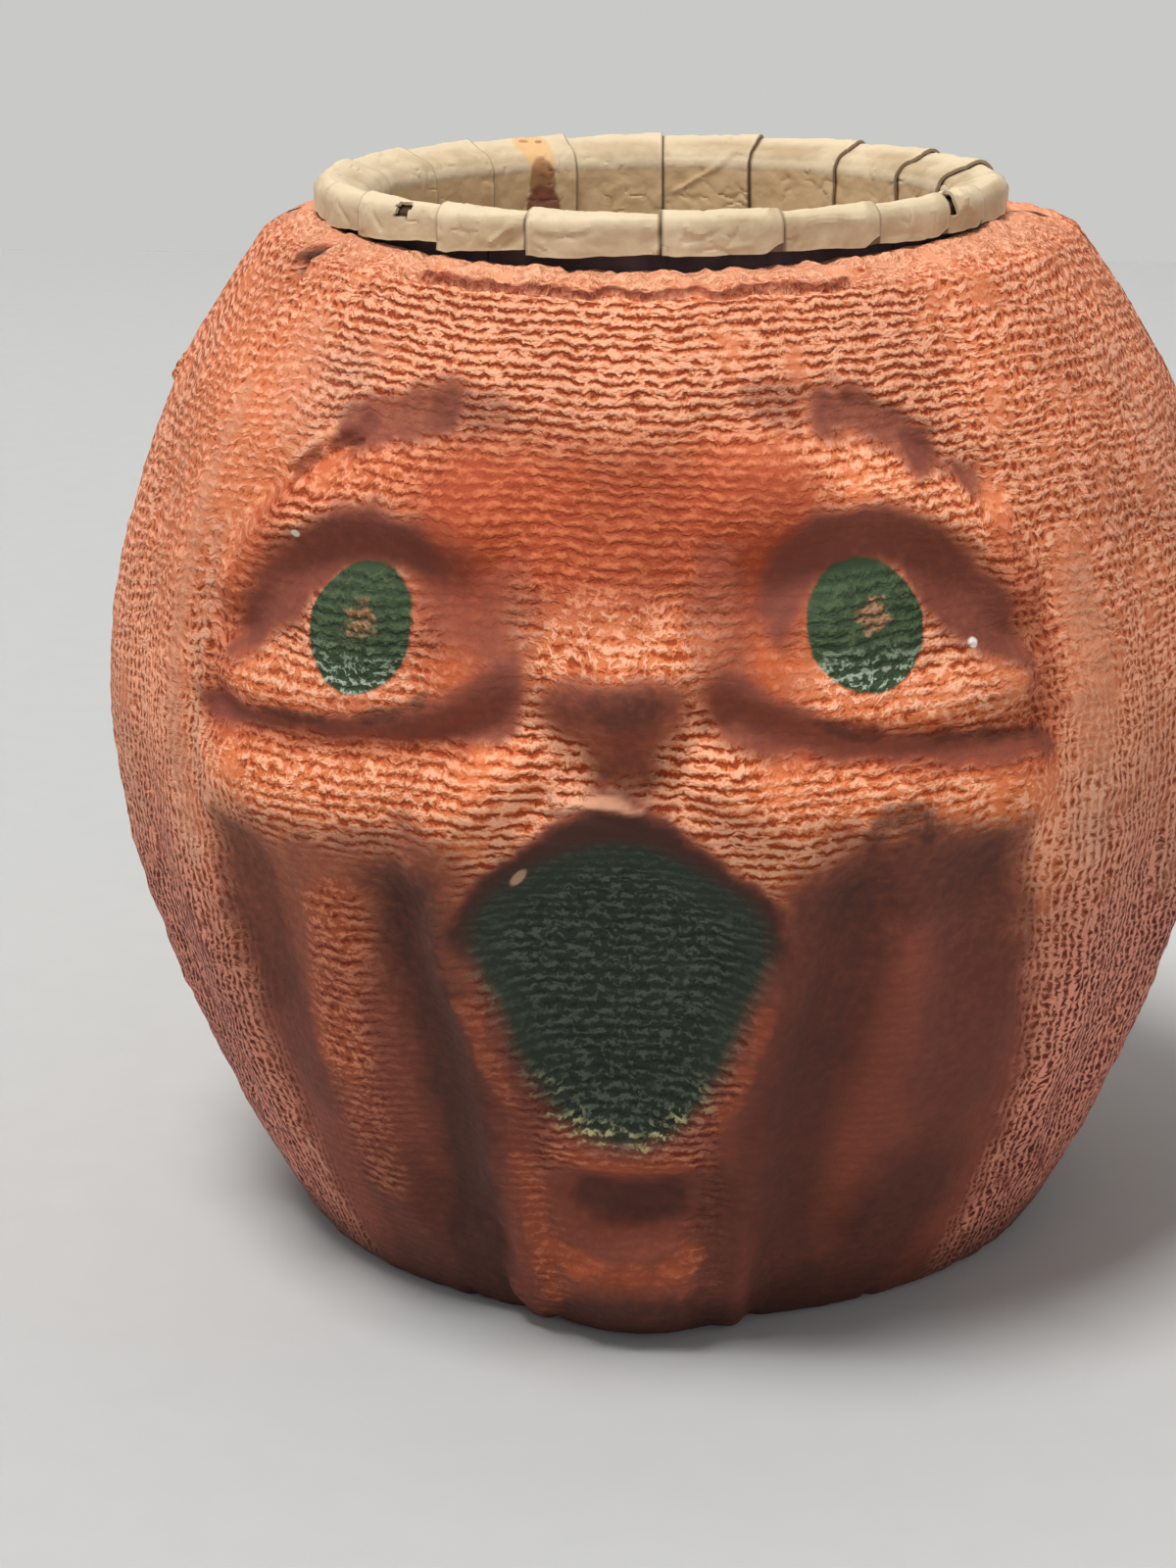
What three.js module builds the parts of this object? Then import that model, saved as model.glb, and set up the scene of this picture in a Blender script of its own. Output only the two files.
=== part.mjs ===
// A jack-o-lantern nut cup: a pressed-cloth pumpkin head in two halves, with a lift-out cardboard cup.
// Millimetres, +Z up. The origin is the centre of the base, on the surface that it stands on.
// The face looks along -Y. Angles round the axis start at the face and grow towards +X.
import * as THREE from "three";

const DEG = Math.PI / 180;

// Head: the plain pumpkin under the face.
const BASE_RADIUS = 23.5;
const BELLY_RADIUS = 34.85;
const BELLY_HEIGHT = 34;
const SHOULDER_HEIGHT = 61.2;
const OPENING_RISE = 0.7;
const SHELL_WALL = 1.6;
const LOWER_FULLNESS = 1.78;
const UPPER_FULLNESS = 2;
const OPENING_SAG = 1.3;
const SAG_POWER = 6;
const OPENING_OFFSET = -0.7;
const SHOULDER_WIDTH = 4.5;

// Pumpkin ribs, which fade out under the face.
const RIB_COUNT = 18;
const RIB_DEPTH = 0.8;
const RIB_FADE_START = 21;
const RIB_FADE_LENGTH = 7;
const RIB_FOOT = 6;
const RIB_HEAD = 54;
const RIB_TAPER = 8;

// Face: places are given across the face from its centre line, and up from the base.
const LEFT_EYE = [-15.4, 43.4];
const RIGHT_EYE = [13.8, 44.2];
const NOSE = [0, 42];
const NOSE_RISE = 2.2;
const NOSE_TIP_RISE = 0.85;
const NOSE_HALF_WIDTH = 6.6;
const NOSE_HALF_HEIGHT = 5;
const BROW_RISE = 1.05;
const SOCKET_DEPTH = 0.9;
const SOCKET_ARC_DEPTH = 0.72;
const EYEBALL_RISE = 1.1;
const LID_RISE = 0.75;
const CHEEK_RISE = 1.35;
const SMILE_RISE = 0.85;
const CHEEK_HOLLOW = 1.2;
const MOUTH_DEPTH = 1.7;
const MOUTH_SLOPE = 3.4;
const LIP_RISE = 0.6;
const LIP_WIDTH = 2.2;
const CHIN_RISE = 2.8;
const HOLLOW_FOOT = 3.2;
const HOLLOW_FADE = 5;

// Joints between the glued pieces.
const SEAM_GAP = 0.3;
const GLUE_GAP = 0.15;
const BOARD_GAP = 0.3;
const STRIP_GAP = 0.45;

// Paper strips that join the halves inside, and the board in the base.
const STRIP_WIDTH = 9;
const STRIP_THICKNESS = 0.5;
const STRIP_FOOT = 4;
const STRIP_HEAD = 56;
const BASE_BOARD_THICKNESS = 1.4;

// Cup: a cardboard tube with a floor, a ring round its rim and dark paper round its outside.
const CUP_BORE_RADIUS = 17.55;
const TUBE_WALL = 1.2;
const CUP_DEPTH = 27;
const CUP_FLOOR_THICKNESS = 1.2;
const COVER_THICKNESS = 0.3;
const COVER_SEAM = 0.35;
const OPENING_CLEARANCE = 0.75;
const RING_OVERHANG = 0.3;
const RING_HEIGHT = 2;
const RING_BEVEL = 0.35;
const CREST_DROP = 0.9;
const SEAT_GAP = 0.3;
const COVER_SEAMS_DEG = [-25, 6, 48, 88, 128, 168, 208, 250, 292];

// Lapped tabs of gummed paper folded over the ring: each one starts at a seam and ends under the next.
const TAPE_THICKNESS = 0.26;
const TAPE_GAP = 0.12;
const TAPE_LAP = 1;
const TAPE_STEP = 0.7;
const TAPE_INNER_LEG = 5;
const TAPE_INNER_UNEVEN = 0.5;
const TAPE_OUTER_UNEVEN = 0.2;
const TAPE_INNER_PHASE = 2.4;
const TAPE_OUTER_PHASE = 1.9;
const TAPE_SEAMS_DEG = [
  -62, -48, -29, -13, 8, 21, 38, 54, 66, 85, 105, 125, 144, 165, 184, 203, 223, 240, 260, 279,
];

// Sizes that follow from those above.
const TUBE_RADIUS = CUP_BORE_RADIUS + TUBE_WALL;
const COVER_RADIUS = TUBE_RADIUS + GLUE_GAP + COVER_THICKNESS;
const OPENING_RADIUS = COVER_RADIUS + OPENING_CLEARANCE;
const SHOULDER_RADIUS = OPENING_RADIUS + SHOULDER_WIDTH;
const OPENING_HEIGHT = SHOULDER_HEIGHT + OPENING_RISE;
const RING_RADIUS = OPENING_RADIUS + RING_OVERHANG;
const RING_BOTTOM = OPENING_HEIGHT + SEAT_GAP;
const RING_TOP = RING_BOTTOM + RING_HEIGHT;
const CUP_BOTTOM = RING_TOP - CREST_DROP - CUP_DEPTH - CUP_FLOOR_THICKNESS;

// Mesh fineness.
const FACE_HALF_ANGLE = 44 * DEG;
const FACE_COLUMNS = 44;
const CHEEK_COLUMNS = 6;
const REAR_COLUMNS = 36;
const FRONT_ROWS = 36;
const REAR_ROWS = 20;
const OPENING_ROWS = 4;
const ROUND_SEGMENTS = 48;
const CURVE_STEPS = 6;

const clothPaint = new THREE.MeshStandardMaterial({ color: 0xc8603a, roughness: 0.9, metalness: 0 });
const creamTape = new THREE.MeshStandardMaterial({ color: 0xd9c9a0, roughness: 0.8, metalness: 0 });
const darkPaper = new THREE.MeshStandardMaterial({ color: 0x453a3f, roughness: 0.85, metalness: 0 });
const greyBoard = new THREE.MeshStandardMaterial({ color: 0xa89a80, roughness: 0.9, metalness: 0 });

/** A smooth step from 0 at low to 1 at high. */
function smoothStep(low, high, value) {
  const t = THREE.MathUtils.clamp((value - low) / (high - low), 0, 1);
  return t * t * (3 - 2 * t);
}

/** Equal steps from first to last, both included. */
function steps(first, last, count) {
  return Array.from({ length: count + 1 }, (_, i) => first + ((last - first) * i) / count);
}

/** The point at an angle round the axis, a radius and a height. */
function around(angle, radius, height) {
  return new THREE.Vector3(radius * Math.sin(angle), -radius * Math.cos(angle), height);
}

/** A round hill that falls to nothing at a distance of 1. */
function hill(distance) {
  return distance >= 1 ? 0 : (1 - distance * distance) ** 2;
}

/** A point's distance to a chain of straight stretches. */
function distanceToChain(across, up, chain) {
  let nearest = Infinity;
  for (let i = 1; i < chain.length; i++) {
    const [fromAcross, fromUp] = chain[i - 1];
    const runAcross = chain[i][0] - fromAcross;
    const runUp = chain[i][1] - fromUp;
    const along = (across - fromAcross) * runAcross + (up - fromUp) * runUp;
    const t = THREE.MathUtils.clamp(along / (runAcross ** 2 + runUp ** 2), 0, 1);
    nearest = Math.min(nearest, Math.hypot(across - fromAcross - t * runAcross, up - fromUp - t * runUp));
  }
  return nearest;
}

/** Short stretches along a smooth curve through the given places. */
function smoothChain(places) {
  const curve = new THREE.SplineCurve(places.map(([across, up]) => new THREE.Vector2(across, up)));
  return curve.getPoints(CURVE_STEPS * (places.length - 1)).map((point) => point.toArray());
}

/** A ridge, or a groove where its rise is negative, along a smooth curve on the face. */
function fold(rise, halfWidth, places) {
  return { rise, halfWidth, chain: smoothChain(places) };
}

/** The folds round one eye. Side is -1 for the eye at -X, and places are outwards and up from the eye. */
function eyeFolds([eyeAcross, eyeUp], side) {
  const place = (list) => list.map(([outwards, up]) => [eyeAcross + side * outwards, eyeUp + up]);
  return [
    fold(BROW_RISE, 3.2, place([[9.6, 1.4], [6.8, 4.8], [0.5, 6.4], [-6.8, 6.2]])),
    fold(-BROW_RISE / 2, 2.2, place([[9.4, 6.2], [4.6, 9.6], [-2, 10.8], [-8.6, 10.2]])),
    fold(-SOCKET_ARC_DEPTH, 2.6, place([[8.4, -0.8], [5.8, 2.4], [0.2, 3.8], [-5.6, 2]])),
    fold(LID_RISE, 2.3, place([[9.2, -3.8], [0, -4.6], [-5, -3.4], [-8.4, -1.4]])),
    fold(-LID_RISE / 2, 1.9, place([[10.4, -5.8], [2.1, -6.6], [-4.5, -5.8], [-8.6, -4.4]])),
    fold(CHEEK_RISE, 5, place([[8.6, -10], [0, -10], [-7.4, -8.8]])),
  ];
}

/** The ridge from one side of the nose round the mouth to the chin, and the hollow beside it. */
function smileFolds(side) {
  const place = (list) => list.map(([outwards, up]) => [side * outwards, up]);
  return [
    fold(SMILE_RISE, 2.7, place([[5.6, 36.8], [8.8, 33], [10.6, 27.4], [8.8, 19], [8.2, 10], [8.2, 1]])),
    fold(-CHEEK_HOLLOW, 4.2, place([[13.5, 28], [12.7, 17], [14.1, 7], [14.5, 0]])),
  ];
}

const FOLDS = [...eyeFolds(LEFT_EYE, -1), ...eyeFolds(RIGHT_EYE, 1), ...smileFolds(-1), ...smileFolds(1)];

const HILLS = [
  { rise: NOSE_RISE, at: NOSE, half: [NOSE_HALF_WIDTH, NOSE_HALF_HEIGHT] },
  { rise: NOSE_TIP_RISE, at: [NOSE[0], NOSE[1] - 1], half: [NOSE_HALF_WIDTH - 2.4, NOSE_HALF_HEIGHT - 1.8] },
  { rise: -0.3, at: [NOSE[0], NOSE[1] - 4.6], half: [3.6, 2.4] },
  { rise: 0.8, at: [NOSE[0], NOSE[1] - 6.8], half: [4.6, 2.8] },
  { rise: -SOCKET_DEPTH, at: LEFT_EYE, half: [9.6, 6] },
  { rise: -SOCKET_DEPTH, at: RIGHT_EYE, half: [9.6, 6] },
  { rise: EYEBALL_RISE, at: LEFT_EYE, half: [5.8, 5.2] },
  { rise: EYEBALL_RISE, at: RIGHT_EYE, half: [5.8, 5.2] },
  { rise: -CHEEK_HOLLOW, at: [-23, 25.5], half: [5.2, 10.5] },
  { rise: -CHEEK_HOLLOW, at: [21, 25.5], half: [5.4, 10.5] },
  { rise: -1.1, at: [0, 9.8], half: [6, 3.6] },
  { rise: CHIN_RISE, at: [0, 3.4], half: [11.5, 9] },
];

/** The right half of the mouth's edge, from its top to its bottom. The left half mirrors it. */
const HALF_MOUTH = [[0, 33.2], [5.4, 30.9], [8.3, 27.3], [7.2, 22.6], [5.6, 18.4], [3.2, 15.1], [0, 13.9]];
const LEFT_MOUTH = HALF_MOUTH.slice(1, -1).map(([across, up]) => [-across, up]);
const MOUTH_PLACES = [...HALF_MOUTH, ...LEFT_MOUTH.reverse()];
const MOUTH_EDGE = new THREE.CatmullRomCurve3(
  MOUTH_PLACES.map(([across, up]) => new THREE.Vector3(across, up, 0)),
  true,
  "catmullrom",
)
  .getPoints(CURVE_STEPS * MOUTH_PLACES.length)
  .map((point) => [point.x, point.y]);

/** Distance of a place outside the mouth's edge, negative inside it. */
function mouthDistance(across, up) {
  let inside = false;
  for (let i = 1; i < MOUTH_EDGE.length; i++) {
    const [fromAcross, fromUp] = MOUTH_EDGE[i - 1];
    const [toAcross, toUp] = MOUTH_EDGE[i];
    if (fromUp > up === toUp > up) continue;
    const crossing = fromAcross + ((up - fromUp) / (toUp - fromUp)) * (toAcross - fromAcross);
    if (across < crossing) inside = !inside;
  }
  const distance = distanceToChain(across, up, MOUTH_EDGE);
  return inside ? -distance : distance;
}

/** Height of the pressed face over the plain pumpkin. */
function faceRelief(across, up) {
  let rise = 0;
  for (const { rise: top, halfWidth, chain } of FOLDS)
    rise += top * hill(distanceToChain(across, up, chain) / halfWidth);
  for (const { rise: top, at, half } of HILLS)
    rise += top * hill(Math.hypot((across - at[0]) / half[0], (up - at[1]) / half[1]));
  const out = mouthDistance(across, up);
  rise -= MOUTH_DEPTH * (1 - smoothStep(-MOUTH_SLOPE, LIP_RISE, out));
  rise += LIP_RISE * hill(Math.abs(out - LIP_WIDTH / 2) / LIP_WIDTH);
  return rise;
}

/** Depth of the valleys between the pumpkin's ribs. */
function ribDepth(angle, up) {
  const fromFace = Math.abs(angle) * BELLY_RADIUS;
  const across = smoothStep(RIB_FADE_START, RIB_FADE_START + RIB_FADE_LENGTH, fromFace);
  const foot = smoothStep(RIB_FOOT, RIB_FOOT + RIB_TAPER, up);
  const head = 1 - smoothStep(RIB_HEAD - RIB_TAPER, RIB_HEAD, up);
  const valley = (1 - Math.cos(RIB_COUNT * (angle - Math.PI / 2))) / 2;
  return RIB_DEPTH * across * foot * head * valley;
}

/** Radius of the plain pumpkin at a height. */
function plainRadius(up) {
  if (up < BELLY_HEIGHT) {
    const below = (BELLY_HEIGHT - up) / BELLY_HEIGHT;
    return BELLY_RADIUS - (BELLY_RADIUS - BASE_RADIUS) * below ** LOWER_FULLNESS;
  }
  const above = (up - BELLY_HEIGHT) / (SHOULDER_HEIGHT - BELLY_HEIGHT);
  return BELLY_RADIUS - (BELLY_RADIUS - SHOULDER_RADIUS) * above ** UPPER_FULLNESS;
}

/** How far the pressed face and the ribs stand out of the plain pumpkin. Hollows end above the foot. */
function headRelief(angle, up) {
  const relief = faceRelief(angle * BELLY_RADIUS, up) - ribDepth(angle, up);
  return relief < 0 ? relief * smoothStep(HOLLOW_FOOT, HOLLOW_FOOT + HOLLOW_FADE, up) : relief;
}

/** How far the opening and shoulder sag between their high points at the two sides. */
function sag(angle) {
  return OPENING_SAG * Math.cos(angle) ** 2;
}

/** One column of the head's outer face, from the base up to the shoulder and in to the opening. */
function outerColumn(angle, rows) {
  const column = steps(0, 1, rows).map((share) => {
    const up = share * SHOULDER_HEIGHT;
    return around(angle, plainRadius(up) + headRelief(angle, up), up - sag(angle) * share ** SAG_POWER);
  });
  const shoulder = column[rows];
  const edge = around(angle, OPENING_RADIUS, OPENING_HEIGHT - sag(angle));
  edge.x += OPENING_OFFSET;
  for (const share of steps(0, 1, OPENING_ROWS).slice(1)) {
    const point = shoulder.clone().lerp(edge, share);
    point.z += (OPENING_RISE / 2) * Math.sin(Math.PI * share);
    column.push(point);
  }
  return column;
}

/**
 * The lining under an outer face, with half its columns and rows. Each point takes the lowest relief
 * of the outer points round it, so that the wall is never thinner than SHELL_WALL.
 */
function liningColumns(angles, outer, rows) {
  const relief = angles.map((angle) => steps(0, SHOULDER_HEIGHT, rows).map((up) => headRelief(angle, up)));
  const columns = [];
  for (let i = 0; i < angles.length; i += 2) {
    const column = [];
    for (let j = 0; j <= rows; j += 2) {
      const near = relief.slice(Math.max(0, i - 2), i + 3).map((list) => list.slice(Math.max(0, j - 2), j + 3));
      const drop = SHELL_WALL * (j / rows) ** 4;
      const radius = plainRadius((j / rows) * SHOULDER_HEIGHT - drop) + Math.min(...near.flat()) - SHELL_WALL;
      column.push(around(angles[i], radius, outer[i][j].z - drop));
    }
    const shoulder = column[column.length - 1];
    const edge = outer[i][rows + OPENING_ROWS].clone();
    edge.z -= SHELL_WALL;
    for (const share of steps(0, 1, OPENING_ROWS / 2).slice(1)) column.push(shoulder.clone().lerp(edge, share));
    columns.push(column);
  }
  return columns;
}

/**
 * A closed sheet from its outer and inner faces, each a grid of points by column and row. The inner
 * face has as many steps as the outer one, or half as many.
 */
function sheetGeometry(outer, inner) {
  const points = [];
  const numbered = (grid) => grid.map((column) => column.map((point) => points.push(point) - 1));
  const front = numbered(outer);
  const back = numbered(inner);
  const triangles = [];
  const addFace = (grid, flip) => {
    for (let i = 1; i < grid.length; i++)
      for (let j = 1; j < grid[i].length; j++) {
        const [a, b, c, d] = [grid[i - 1][j - 1], grid[i][j - 1], grid[i][j], grid[i - 1][j]];
        triangles.push(...(flip ? [a, c, b, a, d, c] : [a, b, c, a, c, d]));
      }
  };
  const addEdge = (fine, coarse) => {
    const ratio = (fine.length - 1) / (coarse.length - 1);
    for (let k = 1; k < coarse.length; k++) {
      const a = fine.slice((k - 1) * ratio, k * ratio + 1);
      triangles.push(a[0], coarse[k - 1], a[1], a[1], coarse[k - 1], coarse[k]);
      if (ratio === 2) triangles.push(a[1], coarse[k], a[2]);
    }
  };
  const row = (grid, j) => grid.map((column) => column[j]);
  addFace(front, false);
  addFace(back, true);
  addEdge(row(front, 0), row(back, 0));
  addEdge(row(front, front[0].length - 1).reverse(), row(back, back[0].length - 1).reverse());
  addEdge([...front[0]].reverse(), [...back[0]].reverse());
  addEdge(front[front.length - 1], back[back.length - 1]);
  const geometry = new THREE.BufferGeometry().setFromPoints(points);
  geometry.setIndex(triangles);
  geometry.computeVertexNormals();
  return geometry;
}

/** Half of the head between two seams. */
function halfShell(angles, rows) {
  const outer = angles.map((angle) => outerColumn(angle, rows));
  return sheetGeometry(outer, liningColumns(angles, outer, rows));
}

/** A closed ring of revolution from its section's points, given as radius and height. */
function ringGeometry(section) {
  const points = [...section, section[0]].map(([radius, height]) => new THREE.Vector2(radius, height));
  return new THREE.LatheGeometry(points, ROUND_SEGMENTS).rotateX(Math.PI / 2);
}

/** A flat disc from a height upwards. */
function discGeometry(radius, low, thickness) {
  return new THREE.CylinderGeometry(radius, radius, thickness, ROUND_SEGMENTS)
    .rotateX(Math.PI / 2)
    .translate(0, 0, low + thickness / 2);
}

/** Height of the rim's sloping crest under the tape at a radius. */
function crestHeight(radius) {
  const slope = CREST_DROP / (RING_RADIUS - RING_BEVEL - CUP_BORE_RADIUS);
  return RING_TOP - slope * (RING_RADIUS - RING_BEVEL - radius);
}

/** An open outline moved sideways by a distance, to the right of its direction, with mitred corners. */
function offsetOutline(outline, distance) {
  const points = outline.map(([radius, height]) => new THREE.Vector2(radius, height));
  const normals = points.slice(1).map((point, i) => {
    const run = point.clone().sub(points[i]).normalize();
    return new THREE.Vector2(run.y, -run.x);
  });
  return points.map((point, i) => {
    const before = normals[Math.max(0, i - 1)];
    const after = normals[Math.min(normals.length - 1, i)];
    const mitre = before.clone().add(after).normalize();
    return point.clone().addScaledVector(mitre, distance / mitre.dot(after));
  });
}

/** The outline that a tab follows over the rim: up the outside, over the crest and down into the cup. */
function rimOutline(outerFoot, innerFoot) {
  return [
    [RING_RADIUS, outerFoot],
    [RING_RADIUS, RING_TOP - RING_BEVEL],
    [RING_RADIUS - RING_BEVEL, RING_TOP],
    [CUP_BORE_RADIUS + RING_BEVEL, crestHeight(CUP_BORE_RADIUS + RING_BEVEL)],
    [CUP_BORE_RADIUS, crestHeight(CUP_BORE_RADIUS) - RING_BEVEL],
    [CUP_BORE_RADIUS, innerFoot],
  ];
}

/** One tab of tape from its seam to its end. It steps up over its neighbour at the seam. */
function tapeGeometry(index, seam, nextSeam) {
  const lap = TAPE_LAP / RING_RADIUS;
  const step = TAPE_STEP / RING_RADIUS;
  const innerLift = TAPE_INNER_UNEVEN * Math.sin(TAPE_INNER_PHASE * index);
  const innerFoot = crestHeight(CUP_BORE_RADIUS) - TAPE_INNER_LEG + innerLift;
  const outerFoot = RING_BOTTOM + TAPE_OUTER_UNEVEN * (1 + Math.cos(TAPE_OUTER_PHASE * index));
  const outline = rimOutline(outerFoot, innerFoot);
  const stations = [seam - lap, seam, seam + step, ...steps(seam + step, nextSeam - step, 2).slice(1)];
  const lifts = [1, 1, 0, 0, 0];
  const side = (extra) =>
    stations.map((angle, i) =>
      offsetOutline(outline, TAPE_GAP + lifts[i] * (TAPE_THICKNESS + TAPE_GAP) + extra).map((point) =>
        around(angle, point.x, point.y),
      ),
    );
  return sheetGeometry(side(TAPE_THICKNESS), side(0));
}

/** A panel of paper round the tube between two angles. */
function coverGeometry(start, end) {
  const halfSeam = COVER_SEAM / 2 / COVER_RADIUS;
  const angles = steps(start + halfSeam, end - halfSeam, 5);
  const column = (radius) => (angle) => [
    around(angle, radius, CUP_BOTTOM),
    around(angle, radius, RING_BOTTOM - GLUE_GAP),
  ];
  return sheetGeometry(
    angles.map(column(COVER_RADIUS)),
    angles.map(column(TUBE_RADIUS + GLUE_GAP)),
  );
}

/** A strip of paper pasted inside one seam, following the lining. */
function seamStripGeometry(centre) {
  const halfAngle = STRIP_WIDTH / 2 / BELLY_RADIUS;
  const angles = steps(centre - halfAngle, centre + halfAngle, 4);
  const heights = steps(STRIP_FOOT, STRIP_HEAD, 10);
  const face = (inset) =>
    angles.map((angle) =>
      heights.map((up) => around(angle, plainRadius(up) - RIB_DEPTH - SHELL_WALL - inset, up)),
    );
  return sheetGeometry(face(STRIP_GAP), face(STRIP_GAP + STRIP_THICKNESS));
}

const part = new THREE.Group();
const shell = new THREE.Group();
const cup = new THREE.Group();
cup.position.x = OPENING_OFFSET;
part.add(shell, cup);

/** Adds one named mesh to a group. */
function addPiece(group, name, geometry, material) {
  const mesh = new THREE.Mesh(geometry, material);
  mesh.name = name;
  group.add(mesh);
}

const pieceNumber = (index) => String(index + 1).padStart(2, "0");

const seamAngle = Math.PI / 2 - SEAM_GAP / 2 / OPENING_RADIUS;
const frontAngles = [
  ...steps(-seamAngle, -FACE_HALF_ANGLE, CHEEK_COLUMNS),
  ...steps(-FACE_HALF_ANGLE, FACE_HALF_ANGLE, FACE_COLUMNS).slice(1),
  ...steps(FACE_HALF_ANGLE, seamAngle, CHEEK_COLUMNS).slice(1),
];
addPiece(shell, "front_shell", halfShell(frontAngles, FRONT_ROWS), clothPaint);
const rearAngles = steps(Math.PI - seamAngle, Math.PI + seamAngle, REAR_COLUMNS);
addPiece(shell, "rear_shell", halfShell(rearAngles, REAR_ROWS), clothPaint);
addPiece(shell, "seam_strip_left", seamStripGeometry(-Math.PI / 2), greyBoard);
addPiece(shell, "seam_strip_right", seamStripGeometry(Math.PI / 2), greyBoard);
const baseBoardRadius = BASE_RADIUS - SHELL_WALL - BOARD_GAP;
addPiece(shell, "base_disc", discGeometry(baseBoardRadius, 0, BASE_BOARD_THICKNESS), greyBoard);

const tubeSection = [
  [CUP_BORE_RADIUS, CUP_BOTTOM],
  [TUBE_RADIUS, CUP_BOTTOM],
  [TUBE_RADIUS, crestHeight(TUBE_RADIUS)],
  [CUP_BORE_RADIUS + RING_BEVEL, crestHeight(CUP_BORE_RADIUS + RING_BEVEL)],
  [CUP_BORE_RADIUS, crestHeight(CUP_BORE_RADIUS) - RING_BEVEL],
];
addPiece(cup, "cup_tube", ringGeometry(tubeSection), greyBoard);
const ringBore = TUBE_RADIUS + GLUE_GAP;
const ringSection = [
  [ringBore, RING_BOTTOM],
  [RING_RADIUS, RING_BOTTOM],
  [RING_RADIUS, RING_TOP - RING_BEVEL],
  [RING_RADIUS - RING_BEVEL, RING_TOP],
  [ringBore, crestHeight(ringBore)],
];
addPiece(cup, "rim_ring", ringGeometry(ringSection), greyBoard);
const floorRadius = CUP_BORE_RADIUS - GLUE_GAP;
addPiece(cup, "cup_floor", discGeometry(floorRadius, CUP_BOTTOM, CUP_FLOOR_THICKNESS), greyBoard);

TAPE_SEAMS_DEG.forEach((seam, i) => {
  const next = TAPE_SEAMS_DEG[i + 1] ?? TAPE_SEAMS_DEG[0] + 360;
  addPiece(cup, "rim_tape_" + pieceNumber(i), tapeGeometry(i, seam * DEG, next * DEG), creamTape);
});
COVER_SEAMS_DEG.forEach((seam, i) => {
  const next = COVER_SEAMS_DEG[i + 1] ?? COVER_SEAMS_DEG[0] + 360;
  addPiece(cup, "cover_panel_" + pieceNumber(i), coverGeometry(seam * DEG, next * DEG), darkPaper);
});

export default part;
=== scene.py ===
"""The looks of a jack-o-lantern nut cup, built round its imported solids.

A small pumpkin head of pressed cloth in two halves, painted orange, with a moulded face, and a cardboard cup
that hangs in its open top by a rim of lapped cream paper. Sizes in the classes are millimetres and degrees,
and angles round the axis start at the face and grow towards +X. Meshes are written in metres.
"""

import logging
import math
from dataclasses import dataclass, field
from enum import Enum

import bmesh
import bpy
import numpy as np
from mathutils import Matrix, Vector


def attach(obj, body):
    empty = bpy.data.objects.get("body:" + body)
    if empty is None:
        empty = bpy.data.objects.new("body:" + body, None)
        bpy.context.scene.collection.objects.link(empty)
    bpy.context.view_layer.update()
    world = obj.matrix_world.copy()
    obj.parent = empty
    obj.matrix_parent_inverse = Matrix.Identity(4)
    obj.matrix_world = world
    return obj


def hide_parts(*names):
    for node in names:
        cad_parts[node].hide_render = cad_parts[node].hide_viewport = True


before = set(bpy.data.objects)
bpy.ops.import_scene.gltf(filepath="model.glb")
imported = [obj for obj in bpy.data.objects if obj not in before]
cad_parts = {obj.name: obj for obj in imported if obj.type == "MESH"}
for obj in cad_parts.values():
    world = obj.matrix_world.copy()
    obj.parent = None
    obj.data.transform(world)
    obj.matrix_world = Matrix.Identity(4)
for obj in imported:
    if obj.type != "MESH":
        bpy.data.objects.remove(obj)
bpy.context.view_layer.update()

log = logging.getLogger("nut_cup")
MM = 0.001
ROUND_SIDES = 128

Tree = bpy.types.NodeTree
Socket = bpy.types.NodeSocket
Material = bpy.types.Material
Piece = bpy.types.Object
Array = np.ndarray
Value = Socket | float | tuple | None


class Body(Enum):
    """The moving bodies of the frame."""

    SHELL = "shell"
    CUP = "cup"


class Slot(Enum):
    """The record's material slots."""

    CLOTH = "painted_cloth"
    CREAM = "cream_paper"
    DARK = "dark_paper"
    BOARD = "board"


class Lap(Enum):
    """Which tab lies on top at a seam of the rim."""

    LATER = "the tab that starts at the seam"
    EARLIER = "the tab that ends at the seam"


# Colours and nodes


def linear(colour: str) -> tuple[float, float, float, float]:
    """Turns an sRGB hex colour into linear light, by the standard curve.

    Args:
        colour: six hex digits after a hash sign.

    Returns:
        Red, green, blue and an alpha of 1.
    """
    shares = [int(colour[i : i + 2], 16) / 255 for i in (1, 3, 5)]
    light = [s / 12.92 if s <= 0.04045 else ((s + 0.055) / 1.055) ** 2.4 for s in shares]
    return (*light, 1.0)


def lump_scale(size: float) -> float:
    """The scale of noise on Object coordinates, which are metres, for lumps of a size in millimetres."""
    return 1 / (size * MM)


def add(
    tree: Tree,
    kind: str,
    *values: Value,
    output: str | None = None,
    sockets: dict[str, Value] | None = None,
    **settings: str | float | bool,
) -> Socket | None:
    """Adds a node to a tree with its settings and links.

    Args:
        tree: the node tree.
        kind: the node's type, without its ShaderNode prefix.
        values: sockets or constants for the inputs that the settings leave in use, in order. None leaves one alone.
        output: the name of the wanted output, where it isn't the first one in use.
        sockets: further inputs by name.
        settings: the node's own settings.

    Returns:
        The wanted output socket, or None from a node without outputs.
    """
    node = tree.nodes.new("ShaderNode" + kind)
    for name, value in settings.items():
        setattr(node, name, value)
    wanted = list(zip([place for place in node.inputs if place.enabled], values))
    wanted += [(node.inputs[name], value) for name, value in (sockets or {}).items()]
    for place, value in wanted:
        if isinstance(value, Socket):
            tree.links.new(value, place)
        elif value is not None:
            place.default_value = value
    return node.outputs[output] if output else next((o for o in node.outputs if o.enabled), None)


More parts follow.
